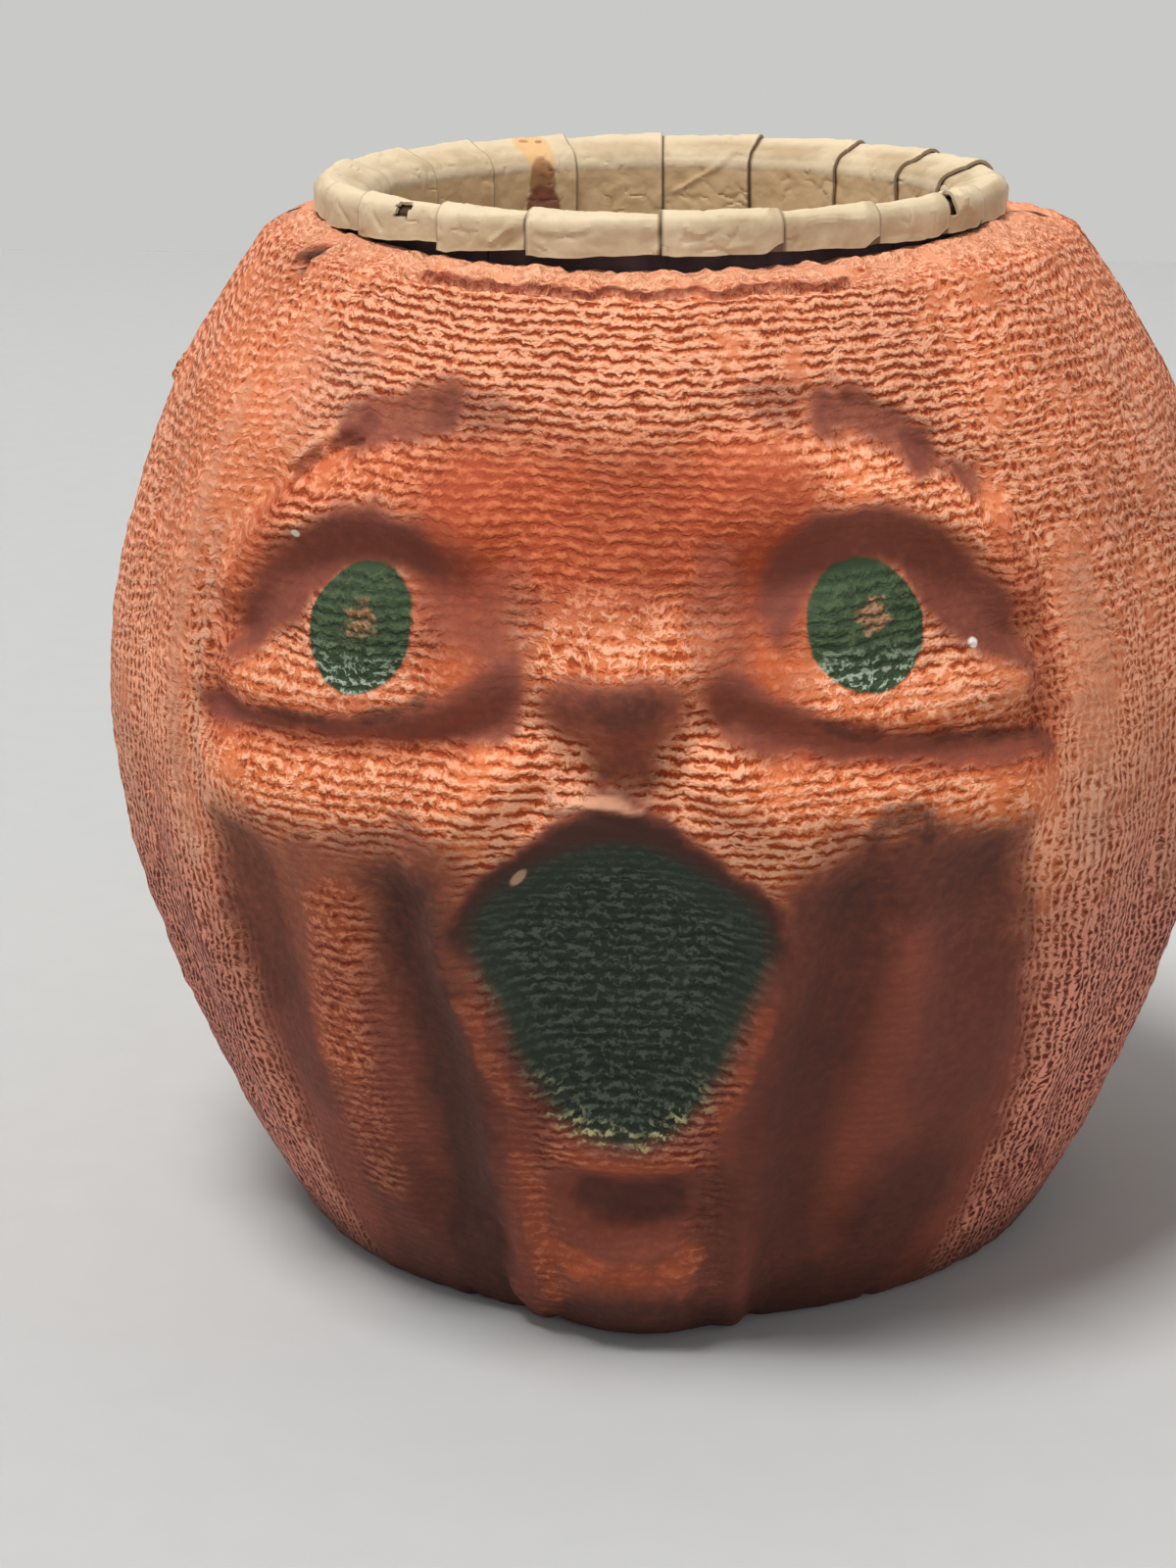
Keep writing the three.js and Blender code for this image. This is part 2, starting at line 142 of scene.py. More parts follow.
def new_material(name: str) -> tuple[Material, Tree]:
    """Makes an empty node material.

    Args:
        name: the material's name.

    Returns:
        The material and its node tree.
    """
    material = bpy.data.materials.new(name)
    material.use_nodes = True
    material.node_tree.nodes.clear()
    return material, material.node_tree


@dataclass(frozen=True)
class Sheen:
    """How a finish takes the light: its relief in millimetres, its roughness and its specular level."""

    relief: float
    roughness: float
    specular: float


def finish_material(tree: Tree, colour: Socket, height: Socket, sheen: Sheen) -> None:
    """Adds the shader, with a bump from a height.

    Args:
        tree: the node tree.
        colour: the socket of the surface colour.
        height: the socket of the height, from 0 to about 1, which spans the relief.
        sheen: how the finish takes the light.
    """
    bump = add(tree, "Bump", sockets={"Height": height, "Distance": sheen.relief * MM, "Strength": 1.0})
    gloss = {"Roughness": sheen.roughness, "Specular IOR Level": sheen.specular}
    shader = add(tree, "BsdfPrincipled", sockets={"Base Color": colour, "Normal": bump, **gloss})
    add(tree, "OutputMaterial", shader)


# Shapes of noise and curves


def smooth_step(low: float, high: float, value: Array) -> Array:
    """A smooth step from 0 at low to 1 at high."""
    t = np.clip((value - low) / (high - low), 0, 1)
    return t * t * (3 - 2 * t)


def hill(distance: Array) -> Array:
    """A round hill of height 1 that falls to nothing at a distance of 1."""
    return (1 - np.clip(distance, 0, 1) ** 2) ** 2


def lattice(column: Array, row: Array, seed: int) -> Array:
    """A fixed random angle for each corner of a square lattice.

    Args:
        column: the corners' whole columns.
        row: their whole rows.
        seed: which noise it is.

    Returns:
        Angles in radians. The large odd numbers only scramble the bits.
    """
    scrambled = (column * 374761393 + row * 668265263 + seed * 1442695041) & 0xFFFFFFFF
    scrambled = ((scrambled ^ (scrambled >> 13)) * 1274126177) & 0xFFFFFFFF
    return ((scrambled ^ (scrambled >> 16)) & 0xFFFF) / 0xFFFF * 2 * np.pi


def cloud(across: Array, up: Array, size: float, seed: int, octaves: int = 2) -> Array:
    """Smooth noise on a surface.

    Args:
        across: place across the surface in millimetres.
        up: place up the surface in millimetres.
        size: the size of its lumps in millimetres.
        seed: which noise it is.
        octaves: how many finer layers are summed.

    Returns:
        Values of about -1 to 1.
    """
    total = np.zeros(np.broadcast(across, up).shape)
    for octave in range(octaves):
        x, y = across / size * 2**octave, up / size * 2**octave
        left, low = np.floor(x).astype(np.int64), np.floor(y).astype(np.int64)
        fx, fy = x - left, y - low
        corners = []
        for dy in (0, 1):
            for dx in (0, 1):
                angle = lattice(left + dx, low + dy, seed + 17 * octave)
                corners.append(np.cos(angle) * (fx - dx) + np.sin(angle) * (fy - dy))
        sx, sy = fx**3 * (fx * (6 * fx - 15) + 10), fy**3 * (fy * (6 * fy - 15) + 10)
        bottom = corners[0] * (1 - sx) + corners[1] * sx
        top = corners[2] * (1 - sx) + corners[3] * sx
        total += (bottom * (1 - sy) + top * sy) * 1.5 / 2**octave
    return total


def smooth_chain(places: list, closed: bool = False, count: int = 6) -> list:
    """Short stretches along a smooth curve through the given places.

    Args:
        places: pairs of millimetres across and up.
        closed: whether the curve returns to its start.
        count: stretches between two places.

    Returns:
        The points of the chain.
    """
    given = [np.array(p, float) for p in places]
    padded = [given[-1], *given, given[0], given[1]] if closed else [given[0], *given, given[-1]]
    chain = [] if closed else [given[0]]
    for a, b, c, d in zip(padded, padded[1:], padded[2:], padded[3:]):
        start, end = (c - a) / 2, (d - b) / 2
        for k in range(1, count + 1):
            t = k / count
            cubic = (2 * b - 2 * c + start + end) * t**3 + (3 * c - 3 * b - 2 * start - end) * t**2
            chain.append(cubic + start * t + b)
    return [chain[-1], *chain] if closed else chain


def chain_distance(across: Array, up: Array, chain: list) -> Array:
    """Distance of places to a chain of straight stretches.

    Args:
        across: the places' millimetres across.
        up: their millimetres up.
        chain: the chain's points.

    Returns:
        The distance of each place in millimetres.
    """
    nearest = np.full(across.shape, np.inf)
    for a, b in zip(chain, chain[1:]):
        run = b - a
        t = np.clip(((across - a[0]) * run[0] + (up - a[1]) * run[1]) / (run @ run), 0, 1)
        nearest = np.minimum(nearest, np.hypot(across - a[0] - t * run[0], up - a[1] - t * run[1]))
    return nearest


def signed_distance(across: Array, up: Array, outline: list) -> Array:
    """Distance of places outside a closed outline, negative inside it.

    Args:
        across: the places' millimetres across.
        up: their millimetres up.
        outline: the outline's points, with the first one again at the end.

    Returns:
        The signed distance of each place in millimetres.
    """
    inside = np.zeros(across.shape, bool)
    for a, b in zip(outline, outline[1:]):
        crosses = (a[1] > up) != (b[1] > up)
        slope = (b[0] - a[0]) / (b[1] - a[1]) if b[1] != a[1] else 0.0
        inside ^= crosses & (across < a[0] + (up - a[1]) * slope)
    distance = chain_distance(across, up, outline)
    return np.where(inside, -distance, distance)


# Mesh makers


def select_only(piece: Piece) -> None:
    """Makes one object the only selected and active one.

    Args:
        piece: the object.
    """
    bpy.ops.object.select_all(action="DESELECT")
    piece.select_set(True)
    bpy.context.view_layer.objects.active = piece


def shade(piece: Piece, angle: float = 40) -> None:
    """Shades a piece smooth, with edges sharper than an angle in degrees left crisp."""
    select_only(piece)
    bpy.ops.object.shade_smooth_by_angle(angle=math.radians(angle))


def mesh_piece(name: str, points: Array, faces: list) -> Piece:
    """Makes an object from points and faces.

    Args:
        name: the piece's name.
        points: its points in millimetres.
        faces: point numbers for each face.

    Returns:
        The object.
    """
    mesh = bpy.data.meshes.new(name)
    mesh.from_pydata((points * MM).tolist(), [], faces)
    mesh.update()
    piece = bpy.data.objects.new(name, mesh)
    bpy.context.scene.collection.objects.link(piece)
    return piece


def edge_faces(fine: Array, coarse: Array) -> list:
    """Joins an edge of many steps to one of fewer with triangles.

    Args:
        fine: point numbers along the finer edge.
        coarse: point numbers along the coarser edge.

    Returns:
        The triangles, which face right of the fine edge's direction.
    """
    ratio = (len(fine) - 1) // (len(coarse) - 1)
    faces = []
    for k in range(1, len(coarse)):
        start = (k - 1) * ratio
        middle = start + (ratio + 1) // 2
        for i in range(start, middle):
            faces.append((fine[i], coarse[k - 1], fine[i + 1]))
        faces.append((fine[middle], coarse[k - 1], coarse[k]))
        for i in range(middle, k * ratio):
            faces.append((fine[i], coarse[k], fine[i + 1]))
    return faces


def closed_sheet(name: str, outer: Array, inner: Array, dropped: Array | None = None) -> Piece:
    """Makes a closed sheet from its outer and inner faces.

    Args:
        name: the piece's name.
        outer: points by column and row.
        inner: points of the inner face, with as many steps or a whole share of them.
        dropped: a mask of the outer cells to leave out as holes, where both faces have the same steps.

    Returns:
        The object. Its first vertices are the outer points, column by column.
    """
    columns, rows = outer.shape[:2]
    points = np.concatenate([outer.reshape(-1, 3), inner.reshape(-1, 3)])
    front = np.arange(columns * rows).reshape(columns, rows)
    back = columns * rows + np.arange(inner.shape[0] * inner.shape[1]).reshape(inner.shape[:2])
    kept = np.ones((columns - 1, rows - 1), bool) if dropped is None else ~dropped
    quads = np.stack([front[:-1, :-1], front[1:, :-1], front[1:, 1:], front[:-1, 1:]], -1)[kept]
    faces = quads.tolist()
    under = np.stack([back[:-1, :-1], back[:-1, 1:], back[1:, 1:], back[1:, :-1]], -1)
    if inner.shape == outer.shape:
        faces += under[kept].tolist()
        used = {(q[i], q[(i + 1) % 4]) for q in quads.tolist() for i in range(4)}
        shift = columns * rows
        faces += [(b, a, a + shift, b + shift) for a, b in sorted(used) if (b, a) not in used]
    else:
        faces += under.reshape(-1, 4).tolist()
        faces += edge_faces(front[:, 0], back[:, 0])
        faces += edge_faces(front[::-1, -1], back[::-1, -1])
        faces += edge_faces(front[0, ::-1], back[0, ::-1])
        faces += edge_faces(front[-1], back[-1])
    piece = mesh_piece(name, points, faces)
    drop_loose(piece)
    return piece


def drop_loose(piece: Piece) -> None:
    """Removes points that no face uses.

    Args:
        piece: the object.
    """
    work = bmesh_of(piece)
    loose = [v for v in work.verts if not v.link_faces]
    bmesh.ops.delete(work, geom=loose, context="VERTS")
    work.to_mesh(piece.data)
    work.free()


def bmesh_of(piece: Piece) -> bmesh.types.BMesh:
    """A working copy of a piece's mesh.

    Args:
        piece: the object.

    Returns:
        The copy, which the caller frees.
    """
    work = bmesh.new()
    work.from_mesh(piece.data)
    return work


def give_values(piece: Piece, name: str, values: Array) -> None:
    """Stores one number for each point of a mesh.

    Args:
        piece: the piece.
        name: the attribute's name.
        values: the numbers. Points past the end of the list get 0.
    """
    full = np.zeros(len(piece.data.vertices), np.float32)
    full[: values.size] = values.ravel()
    piece.data.attributes.new(name, "FLOAT", "POINT").data.foreach_set("value", full)


def give_uv(piece: Piece, name: str, across: Array, up: Array) -> None:
    """Stores a pair of numbers for each point of a mesh as a UV map.

    Args:
        piece: the piece.
        name: the map's name.
        across: the first numbers. Points past the end of the list get 0.
        up: the second numbers.
    """
    full = np.zeros((len(piece.data.vertices), 2), np.float32)
    full[: across.size, 0] = across.ravel()
    full[: up.size, 1] = up.ravel()
    corners = np.zeros(len(piece.data.loops), np.int64)
    piece.data.loops.foreach_get("vertex_index", corners)
    piece.data.uv_layers.new(name=name).data.foreach_set("uv", full[corners].ravel())


def around(angle: Array, radius: Array, height: Array) -> Array:
    """Points at angles round the axis, in radians, radii and heights."""
    angle, radius, height = np.broadcast_arrays(angle, radius, height)
    return np.stack([radius * np.sin(angle), -radius * np.cos(angle), height], -1)


# Finishes


@dataclass(frozen=True)
class Paint:
    """A coat of paint: where it lies, and its colour on thread tops, on the threads and between them."""

    mask: str
    # The tops are paler, as rubbed paint and painted highlight, and the hollows darker, as painted shade
    top: str
    body: str
    hollow: str


@dataclass(frozen=True)
class Fleck:
    """A spot where paint has come off: place, half size, turn in degrees and colour, in millimetres on the face."""

    place: tuple
    half: tuple
    turn: float
    colour: str


@dataclass(frozen=True)
class PaintedCloth:
    """Open scrim soaked in glue, pressed in a mould and painted orange with sprayed brown shading.

    The eye gets wavy rows of peach thread tops over rust-red slits, smooth where the spray is thick. The peach is
    partly a painted highlight and the rust-red partly painted shade. Sizes are millimetres. Slubs, fibres and folds
    are counts to a thread of 0.68 mm, the unit of the threads map, and tufts are a count to a millimetre
    of the face map.
    """

    ground: Paint = Paint("", "#F3AB86", "#D07449", "#983A16")
    coats: tuple = (
        # Painted highlight on the ridges that face up, over a brighter orange paint
        Paint("bright_paint_and_highlight", "#FAB18B", "#DB7745", "#A8421A"),
        Paint("rust", "#CE7048", "#A44322", "#80290B"),
        # Painted shade over the lower front, in a duller paint
        Paint("dull", "#B26B54", "#8E4835", "#6A2818"),
        # Painted shade down the lower sides, in a pinkish paint
        Paint("pink_paint_and_lower_shade", "#E0917A", "#702B1D", "#3A0A04"),
        # Rubbed paint on the rib crests and upper sides, and painted highlight on the brow, lids, nose and upper lip
        Paint("worn", "#DFA588", "#C98463", "#AA6445"),
        Paint("brown", "#8A4A3B", "#7A3F31", "#5C2B20"),
        # A darker spray, and painted shade in the hole, under the nose, in the lid creases, in the grooves and under
        # the chin
        Paint("dark", "#513027", "#472921", "#371C16"),
        # Painted highlight along the ridges of the lower face
        Paint("lower_ridge_highlight", "#D5835F", "#A54E2E", "#6A2210"),
        # Painted shade in the crevice of the crack under the rolled cloth
        Paint("crack", "#9A4028", "#6C2613", "#47160A"),
    )
    eye: Paint = Paint("", "#4A5A3C", "#35452D", "#26331E")
    eye_glint: str = "#B4C0AA"
    mouth: Paint = Paint("mouth", "#545E51", "#2C352A", "#1F271C")
    lip_glint: str = "#C2B883"
    # A pale peach tint for bare cloth, also a painted highlight on two torn scars
    raw_and_highlight: str = "#F2B48E"
    bare_flecks: tuple = (
        Fleck((-20.5, 47.9, 0), (0.28, 0.24, 1), 0, "#E9D8CC"),
        Fleck((20.3, 42.7, 0), (0.34, 0.28, 1), 0, "#E4DAD6"),
        Fleck((-5.3, 30.9, 0), (0.28, 0.75, 1), -38, "#B08A70"),
        Fleck((-27.0, 8.2, 0), (0.14, 1.5, 1), 28, "#E0B49A"),
    )
    eye_half: tuple = (3.42, 3.4, 1)
    scraped_half: tuple = (1.5, 1.3, 1)
    speckle: float = 0.5882
    clogged_patch: float = 3.03
    grit: float = 0.3125
    blotch: float = 7.143
    slubs: float = 1.15
    fibres: float = 3.4
    folds: float = 0.8
    tufts: float = 1.7
    sheen: Sheen = Sheen(0.21, 0.7, 0.22)

    def weave(self, tree: Tree, threads: Socket) -> Socket:
        """Height of the weave: wavy rows of weft, bridged here and there by the warp.

        Args:
            tree: the node tree.
            threads: the socket of thread counts across and up.

        Returns:
            The height's socket, from 0 to about 1.
        """
        lean = add(tree, "Attribute", attribute_name="warp", output="Fac")
        shake = add(tree, "TexNoise", threads, self.slubs, 3.0, 0.6, output="Color")
        wide = add(tree, "MapRange", lean, 0.0, 1.0, 1.25, 1.6)
        shaken = add(tree, "VectorMath", shake, wide, operation="SCALE")
        place = add(tree, "VectorMath", shaken, threads, operation="ADD")
        split = add(tree, "SeparateXYZ", place).node
        waves = []
        for axis in ("X", "Y"):
            turned = add(tree, "Math", split.outputs[axis], math.pi, operation="MULTIPLY")
            waves.append(add(tree, "Math", turned, operation="SINE"))
        crossing = add(tree, "Math", *waves, operation="MULTIPLY")
        stretched = add(tree, "Mapping", threads, None, None, (0.55, 1.0, 1.0))
        breaks = add(tree, "TexNoise", stretched, self.slubs, 2.0, 0.55)
        bridged = add(tree, "MapRange", breaks, 0.5, 0.6, 0.0, 0.85)
        # The upright threads hide under the rows on the face, and stand out on the sides
        rows = add(tree, "MapRange", lean, 0.0, 1.0, 1.0, 0.8)
        columns = add(tree, "MapRange", lean, 0.0, 1.0, 0.0, 1.0)
        dip = 0.15
        heights = []
        for wave, sign, share in ((waves[1], dip, rows), (waves[0], -dip, columns)):
            ridge = add(tree, "Math", wave, operation="ABSOLUTE")
            over = add(tree, "Math", crossing, sign, ridge, operation="MULTIPLY_ADD")
            heights.append(add(tree, "Math", over, share, operation="MULTIPLY"))
        blend = 0.15
        woven = add(tree, "Math", *heights, blend, operation="SMOOTH_MAX")
        return add(tree, "Math", woven, bridged, blend, operation="SMOOTH_MAX")

    def surface(self, tree: Tree) -> Socket:
        """Height of the whole surface: the weave, clogged by paint in places, with grit over it.

        Args:
            tree: the node tree.

        Returns:
            The height's socket.
        """
        threads = add(tree, "UVMap", uv_map="threads")
        place = add(tree, "TexCoord", output="Object")
        ragged = add(tree, "TexNoise", threads, self.fibres, 2.0, 0.6)
        patches = add(tree, "TexNoise", place, lump_scale(self.clogged_patch), 2.0)
        grit = add(tree, "TexNoise", place, lump_scale(self.grit), 2.0, 0.6)
        lean = add(tree, "Attribute", attribute_name="warp", output="Fac")
        centred = add(tree, "Math", ragged, 0.5, operation="SUBTRACT")
        share = add(tree, "MapRange", lean, 0.0, 1.0, 0.7, 0.4)
        threaded = add(tree, "Math", centred, share, self.weave(tree, threads), operation="MULTIPLY_ADD")
        # A net of folds runs where the noise crosses its middle
        veins = add(tree, "TexNoise", threads, self.folds, 3.0, 0.6)
        off = add(tree, "Math", add(tree, "Math", veins, 0.5, operation="SUBTRACT"), operation="ABSOLUTE")
        fold = add(tree, "MapRange", off, 0.0, 0.12, 0.98, 0.3, interpolation_type="SMOOTHSTEP")
        crinkle = add(tree, "Attribute", attribute_name="crinkle", output="Fac")
        crinkled = add(tree, "Mix", crinkle, threaded, fold, data_type="FLOAT")
        filled = add(tree, "MapRange", patches, 0.55, 0.72, 0.0, 0.75)
        clog = add(tree, "Attribute", attribute_name="clog", output="Fac")
        smooth = add(tree, "Math", filled, clog, operation="MAXIMUM")
        level = add(tree, "Math", grit, 0.16, 0.62, operation="MULTIPLY_ADD")
        return add(tree, "Mix", smooth, crinkled, level, data_type="FLOAT")

    def build(self) -> Material:
        """Makes the material.

        Returns:
            The Blender material.
        """
        material, tree = new_material("oil_painted_pressed_scrim")
        height = self.surface(tree)
        place = add(tree, "TexCoord", output="Object")
        face = add(tree, "UVMap", uv_map="face")
        blotches = add(tree, "TexNoise", place, lump_scale(self.blotch), 3.0)
        speckle = add(tree, "TexNoise", place, lump_scale(self.speckle), 2.0)
        stack = CoatStack(tree, self.ground)
        proud = add(tree, "Math", height, 0.5, operation="SUBTRACT")
        for coat in self.coats:
            cover = add(tree, "Attribute", attribute_name=coat.mask, output="Fac")
            grain = add(tree, "Math", speckle, 0.5, operation="SUBTRACT")
            sprayed = add(tree, "Math", grain, 0.45, cover, operation="MULTIPLY_ADD")
            there = add(tree, "MapRange", cover, 0.0, 0.15, 0.0, 1.0)
            caught = add(tree, "Math", proud, 0.4, sprayed, operation="MULTIPLY_ADD")
            stack.lay(coat, add(tree, "Math", caught, there, operation="MULTIPLY", use_clamp=True))
        self.lay_eyes(tree, stack, face, speckle, height)
        self.lay_mouth(tree, stack, speckle)
        # Thread tops take a paler tone, as rubbed paint and painted highlight, and hollows a darker one, as painted
        # shade
        thread = add(tree, "MapRange", height, 0.32, 0.58, 0.0, 1.0, interpolation_type="SMOOTHSTEP")
        rubbed = add(tree, "MapRange", height, 0.66, 0.92, 0.0, 1.0, interpolation_type="SMOOTHSTEP")
        colour = add(tree, "Mix", thread, stack.tones["hollow"], stack.tones["body"], data_type="RGBA")
        colour = add(tree, "Mix", rubbed, colour, stack.tones["top"], data_type="RGBA")
        worn_down = add(tree, "MapRange", blotches, 0.3, 0.7, 0.86, 1.12)
        colour = add(tree, "Mix", 1.0, colour, worn_down, data_type="RGBA", blend_type="MULTIPLY")
        # Bare cloth at the opening's edge and on two scars, the scars also with a painted highlight
        raw_and_highlight = add(tree, "Attribute", attribute_name="raw_and_highlight", output="Fac")
        colour = add(tree, "Mix", raw_and_highlight, colour, linear(self.raw_and_highlight), data_type="RGBA")
        finish_material(tree, self.flecked(tree, colour, face), height, self.sheen)
        return material

    def lay_eyes(self, tree: Tree, stack: "CoatStack", face: Socket, speckle: Socket, height: Socket) -> None:
        """Paints the two green eyes, with bare threads in their middle and glints low down.

        Args:
            tree: the node tree.
            stack: the coats so far.
            face: the socket of places on the face.
            speckle: the socket of a fine noise.
            height: the socket of the surface height.
        """
        for across, up in HeadForm.eye_places():
            near = add(tree, "Mapping", face, (across, up, 0), None, self.eye_half, vector_type="TEXTURE")
            far = add(tree, "VectorMath", near, operation="LENGTH")
            ragged = add(tree, "Math", speckle, 0.1, far, operation="MULTIPLY_ADD")
            inside = add(tree, "MapRange", ragged, 1.08, 1.03, 0.0, 1.0)
            scraped_at = (across + 0.3, up + 0.5, 0)
            middle = add(tree, "Mapping", face, scraped_at, None, self.scraped_half, vector_type="TEXTURE")
            centre = add(tree, "VectorMath", middle, operation="LENGTH")
            tuft = add(tree, "TexNoise", face, self.tufts, 2.0)
            scraped = add(tree, "Math", tuft, 1.6, centre, operation="MULTIPLY_ADD")
            bare = add(tree, "MapRange", scraped, 1.6, 1.3, 0.0, 0.38)
            risen = add(tree, "MapRange", height, 0.45, 0.75, 0.1, 1.0)
            bare = add(tree, "Math", bare, risen, operation="MULTIPLY")
            stack.lay(self.eye, add(tree, "Math", inside, bare, operation="SUBTRACT", use_clamp=True))
            low = add(tree, "SeparateXYZ", near).node.outputs["Y"]
            shine = add(tree, "MapRange", low, -0.2, -0.8, 0.0, 0.85)
            top = add(tree, "MapRange", height, 0.5, 0.8, 0.0, 1.0)
            lit = add(tree, "Math", shine, top, operation="MULTIPLY")
            stack.tint_tops(self.eye_glint, add(tree, "Math", lit, inside, operation="MULTIPLY"))

    def lay_mouth(self, tree: Tree, stack: "CoatStack", speckle: Socket) -> None:
        """Paints the green mouth with its sprayed edge and the glints along its lower lip.

        Args:
            tree: the node tree.
            stack: the coats so far.
            speckle: the socket of a fine noise.
        """
        out = add(tree, "Attribute", attribute_name="mouth", output="Fac")
        here = add(tree, "Attribute", attribute_name="face_side", output="Fac")
        ragged = add(tree, "Math", speckle, 0.6, out, operation="MULTIPLY_ADD")
        paint = add(tree, "MapRange", ragged, 1.1, -0.4, 0.0, 1.0, interpolation_type="SMOOTHSTEP")
        stack.lay(self.mouth, add(tree, "Math", here, paint, operation="MULTIPLY"))
        glint = add(tree, "Attribute", attribute_name="glint", output="Fac")
        stack.tint_tops(self.lip_glint, glint)

    def flecked(self, tree: Tree, colour: Socket, face: Socket) -> Socket:
        """Adds the few pale flecks and scratches where paint has come off.

        Args:
            tree: the node tree.
            colour: the socket of the colour below.
            face: the socket of places on the face.

        Returns:
            The socket of the colour with the flecks.
        """
        for fleck in self.bare_flecks:
            turn = (0, 0, math.radians(fleck.turn))
            near = add(tree, "Mapping", face, fleck.place, turn, fleck.half, vector_type="TEXTURE")
            far = add(tree, "VectorMath", near, operation="LENGTH")
            bare = add(tree, "MapRange", far, 1.1, 0.7, 0.0, 1.0)
            colour = add(tree, "Mix", bare, colour, linear(fleck.colour), data_type="RGBA")
        return colour


@dataclass
class CoatStack:
    """The cloth's three tones, as coats are laid over them."""

    tree: Tree
    ground: Paint
    tones: dict[str, Socket] = field(default_factory=dict)

    def __post_init__(self) -> None:
        """Starts with the ground's tones."""
        for tone in ("top", "body", "hollow"):
            self.tones[tone] = add(self.tree, "RGB")
            self.tones[tone].default_value = linear(getattr(self.ground, tone))

    def lay(self, coat: Paint, cover: Socket) -> None:
        """Lays a coat.

        Args:
            coat: its colours.
            cover: the socket of how much of it there is.
        """
        for tone, under in self.tones.items():
            over = linear(getattr(coat, tone))
            self.tones[tone] = add(self.tree, "Mix", cover, under, over, data_type="RGBA")

    def tint_tops(self, colour: str, cover: Socket) -> None:
        """Tints the thread tops alone.

        Args:
            colour: the tint, in hex.
            cover: the socket of how much of it there is.
        """
        self.tones["top"] = add(self.tree, "Mix", cover, self.tones["top"], linear(colour), data_type="RGBA")


@dataclass(frozen=True)
class PulpLining:
    """The unpainted inside of the pressed cloth: glue-stiffened scrim and paper, dull grey-brown and felted.

    Its fibres are drawn as lumps of 1.1 mm, coarser than real ones, so that they show.
    """

    light: str = "#9B8468"
    dark: str = "#6E5A46"
    fibre: float = 1.111
    stain: float = 14.29
    sheen: Sheen = Sheen(0.2, 0.92, 0.2)

    def build(self) -> Material:
        """Makes the material.

        Returns:
            The Blender material.
        """
        material, tree = new_material("glue_stiffened_pulp_lining")
        place = add(tree, "TexCoord", output="Object")
        fibres = add(tree, "TexNoise", place, lump_scale(self.fibre), 5.0, 0.65)
        stains = add(tree, "TexNoise", place, lump_scale(self.stain), 2.0)
        blend = add(tree, "Math", fibres, stains, operation="MULTIPLY")
        share = add(tree, "MapRange", blend, 0.15, 0.38, 0.0, 1.0)
        colour = add(tree, "Mix", share, linear(self.dark), linear(self.light), data_type="RGBA")
        finish_material(tree, colour, fibres, self.sheen)
        return material


@dataclass(frozen=True)
class GummedPaper:
    """Aged cream gummed paper: smooth, with a faint sheen. Painted shadow darkens it beside its laps and cut edges,
    painted highlights pale its edges, and a lighter tint inside the cup is painted light.

    Sizes are millimetres. A stain's place is along the rim and up the tab, as on the paper map.
    """

    cream: str = "#B69C78"
    # pale is also the mottle's lighter tone, and the tint of the painted highlights on the edges
    pale: str = "#DFCAA8"
    # A lighter tint inside the cup, as painted light on its inner wall
    inside: str = "#DDB98C"
    # Painted shadow beside the laps and along the cut edges
    painted_lap_and_edge_shadow: str = "#5C4329"
    stain: str = "#7E4431"
    stain_neck: str = "#A06C45"
    stain_halo: str = "#DFAE72"
    mottle: float = 3.846
    fibre: float = 0.3125
    sheen: Sheen = Sheen(0.1, 0.6, 0.4)

    def build(self) -> Material:
        """Makes the material.

        Returns:
            The Blender material.
        """
        material, tree = new_material("aged_gummed_paper")
        place = add(tree, "TexCoord", output="Object")
        sheet = add(tree, "UVMap", uv_map="paper")
        mottle = add(tree, "TexNoise", place, lump_scale(self.mottle), 4.0, 0.55)
        fibres = add(tree, "TexNoise", place, lump_scale(self.fibre), 2.0)
        share = add(tree, "MapRange", mottle, 0.38, 0.66, 0.0, 0.7)
        colour = add(tree, "Mix", share, linear(self.cream), linear(self.pale), data_type="RGBA")
        # Painted light inside the cup, painted highlights on the edges and painted shadow at the laps and cut edges
        for name, tint in (("inside", self.inside), ("pale", self.pale), ("painted_lap_and_edge_shadow", self.painted_lap_and_edge_shadow)):
            amount = add(tree, "Attribute", attribute_name=name, output="Fac")
            colour = add(tree, "Mix", amount, colour, linear(tint), data_type="RGBA")
        along = RimTabs.stain_place()
        for middle, half, tint, strength in (
            ((along, 3.3, 0), (1.45, 2.1, 1), self.stain_halo, 0.8),
            ((along, 5.5, 0), (1.15, 1.5, 1), self.stain_neck, 0.85),
            ((along, 7.1, 0), (1.45, 1.5, 1), self.stain, 0.9),
            ((along - 0.6, 2.6, 0), (0.3, 0.25, 1), self.stain_neck, 0.8),
            ((along + 0.4, 2.4, 0), (0.4, 0.2, 1), self.stain_neck, 0.7),
        ):
            near = add(tree, "Mapping", sheet, middle, None, half, vector_type="TEXTURE")
            far = add(tree, "VectorMath", near, operation="LENGTH")
            ragged = add(tree, "Math", mottle, 0.5, far, operation="MULTIPLY_ADD")
            spot = add(tree, "MapRange", ragged, 1.28, 1.12, 0.0, strength)
            colour = add(tree, "Mix", spot, colour, linear(tint), data_type="RGBA")
        height = add(tree, "Math", fibres, 0.2, mottle, operation="MULTIPLY_ADD")
        finish_material(tree, colour, height, self.sheen)
        return material


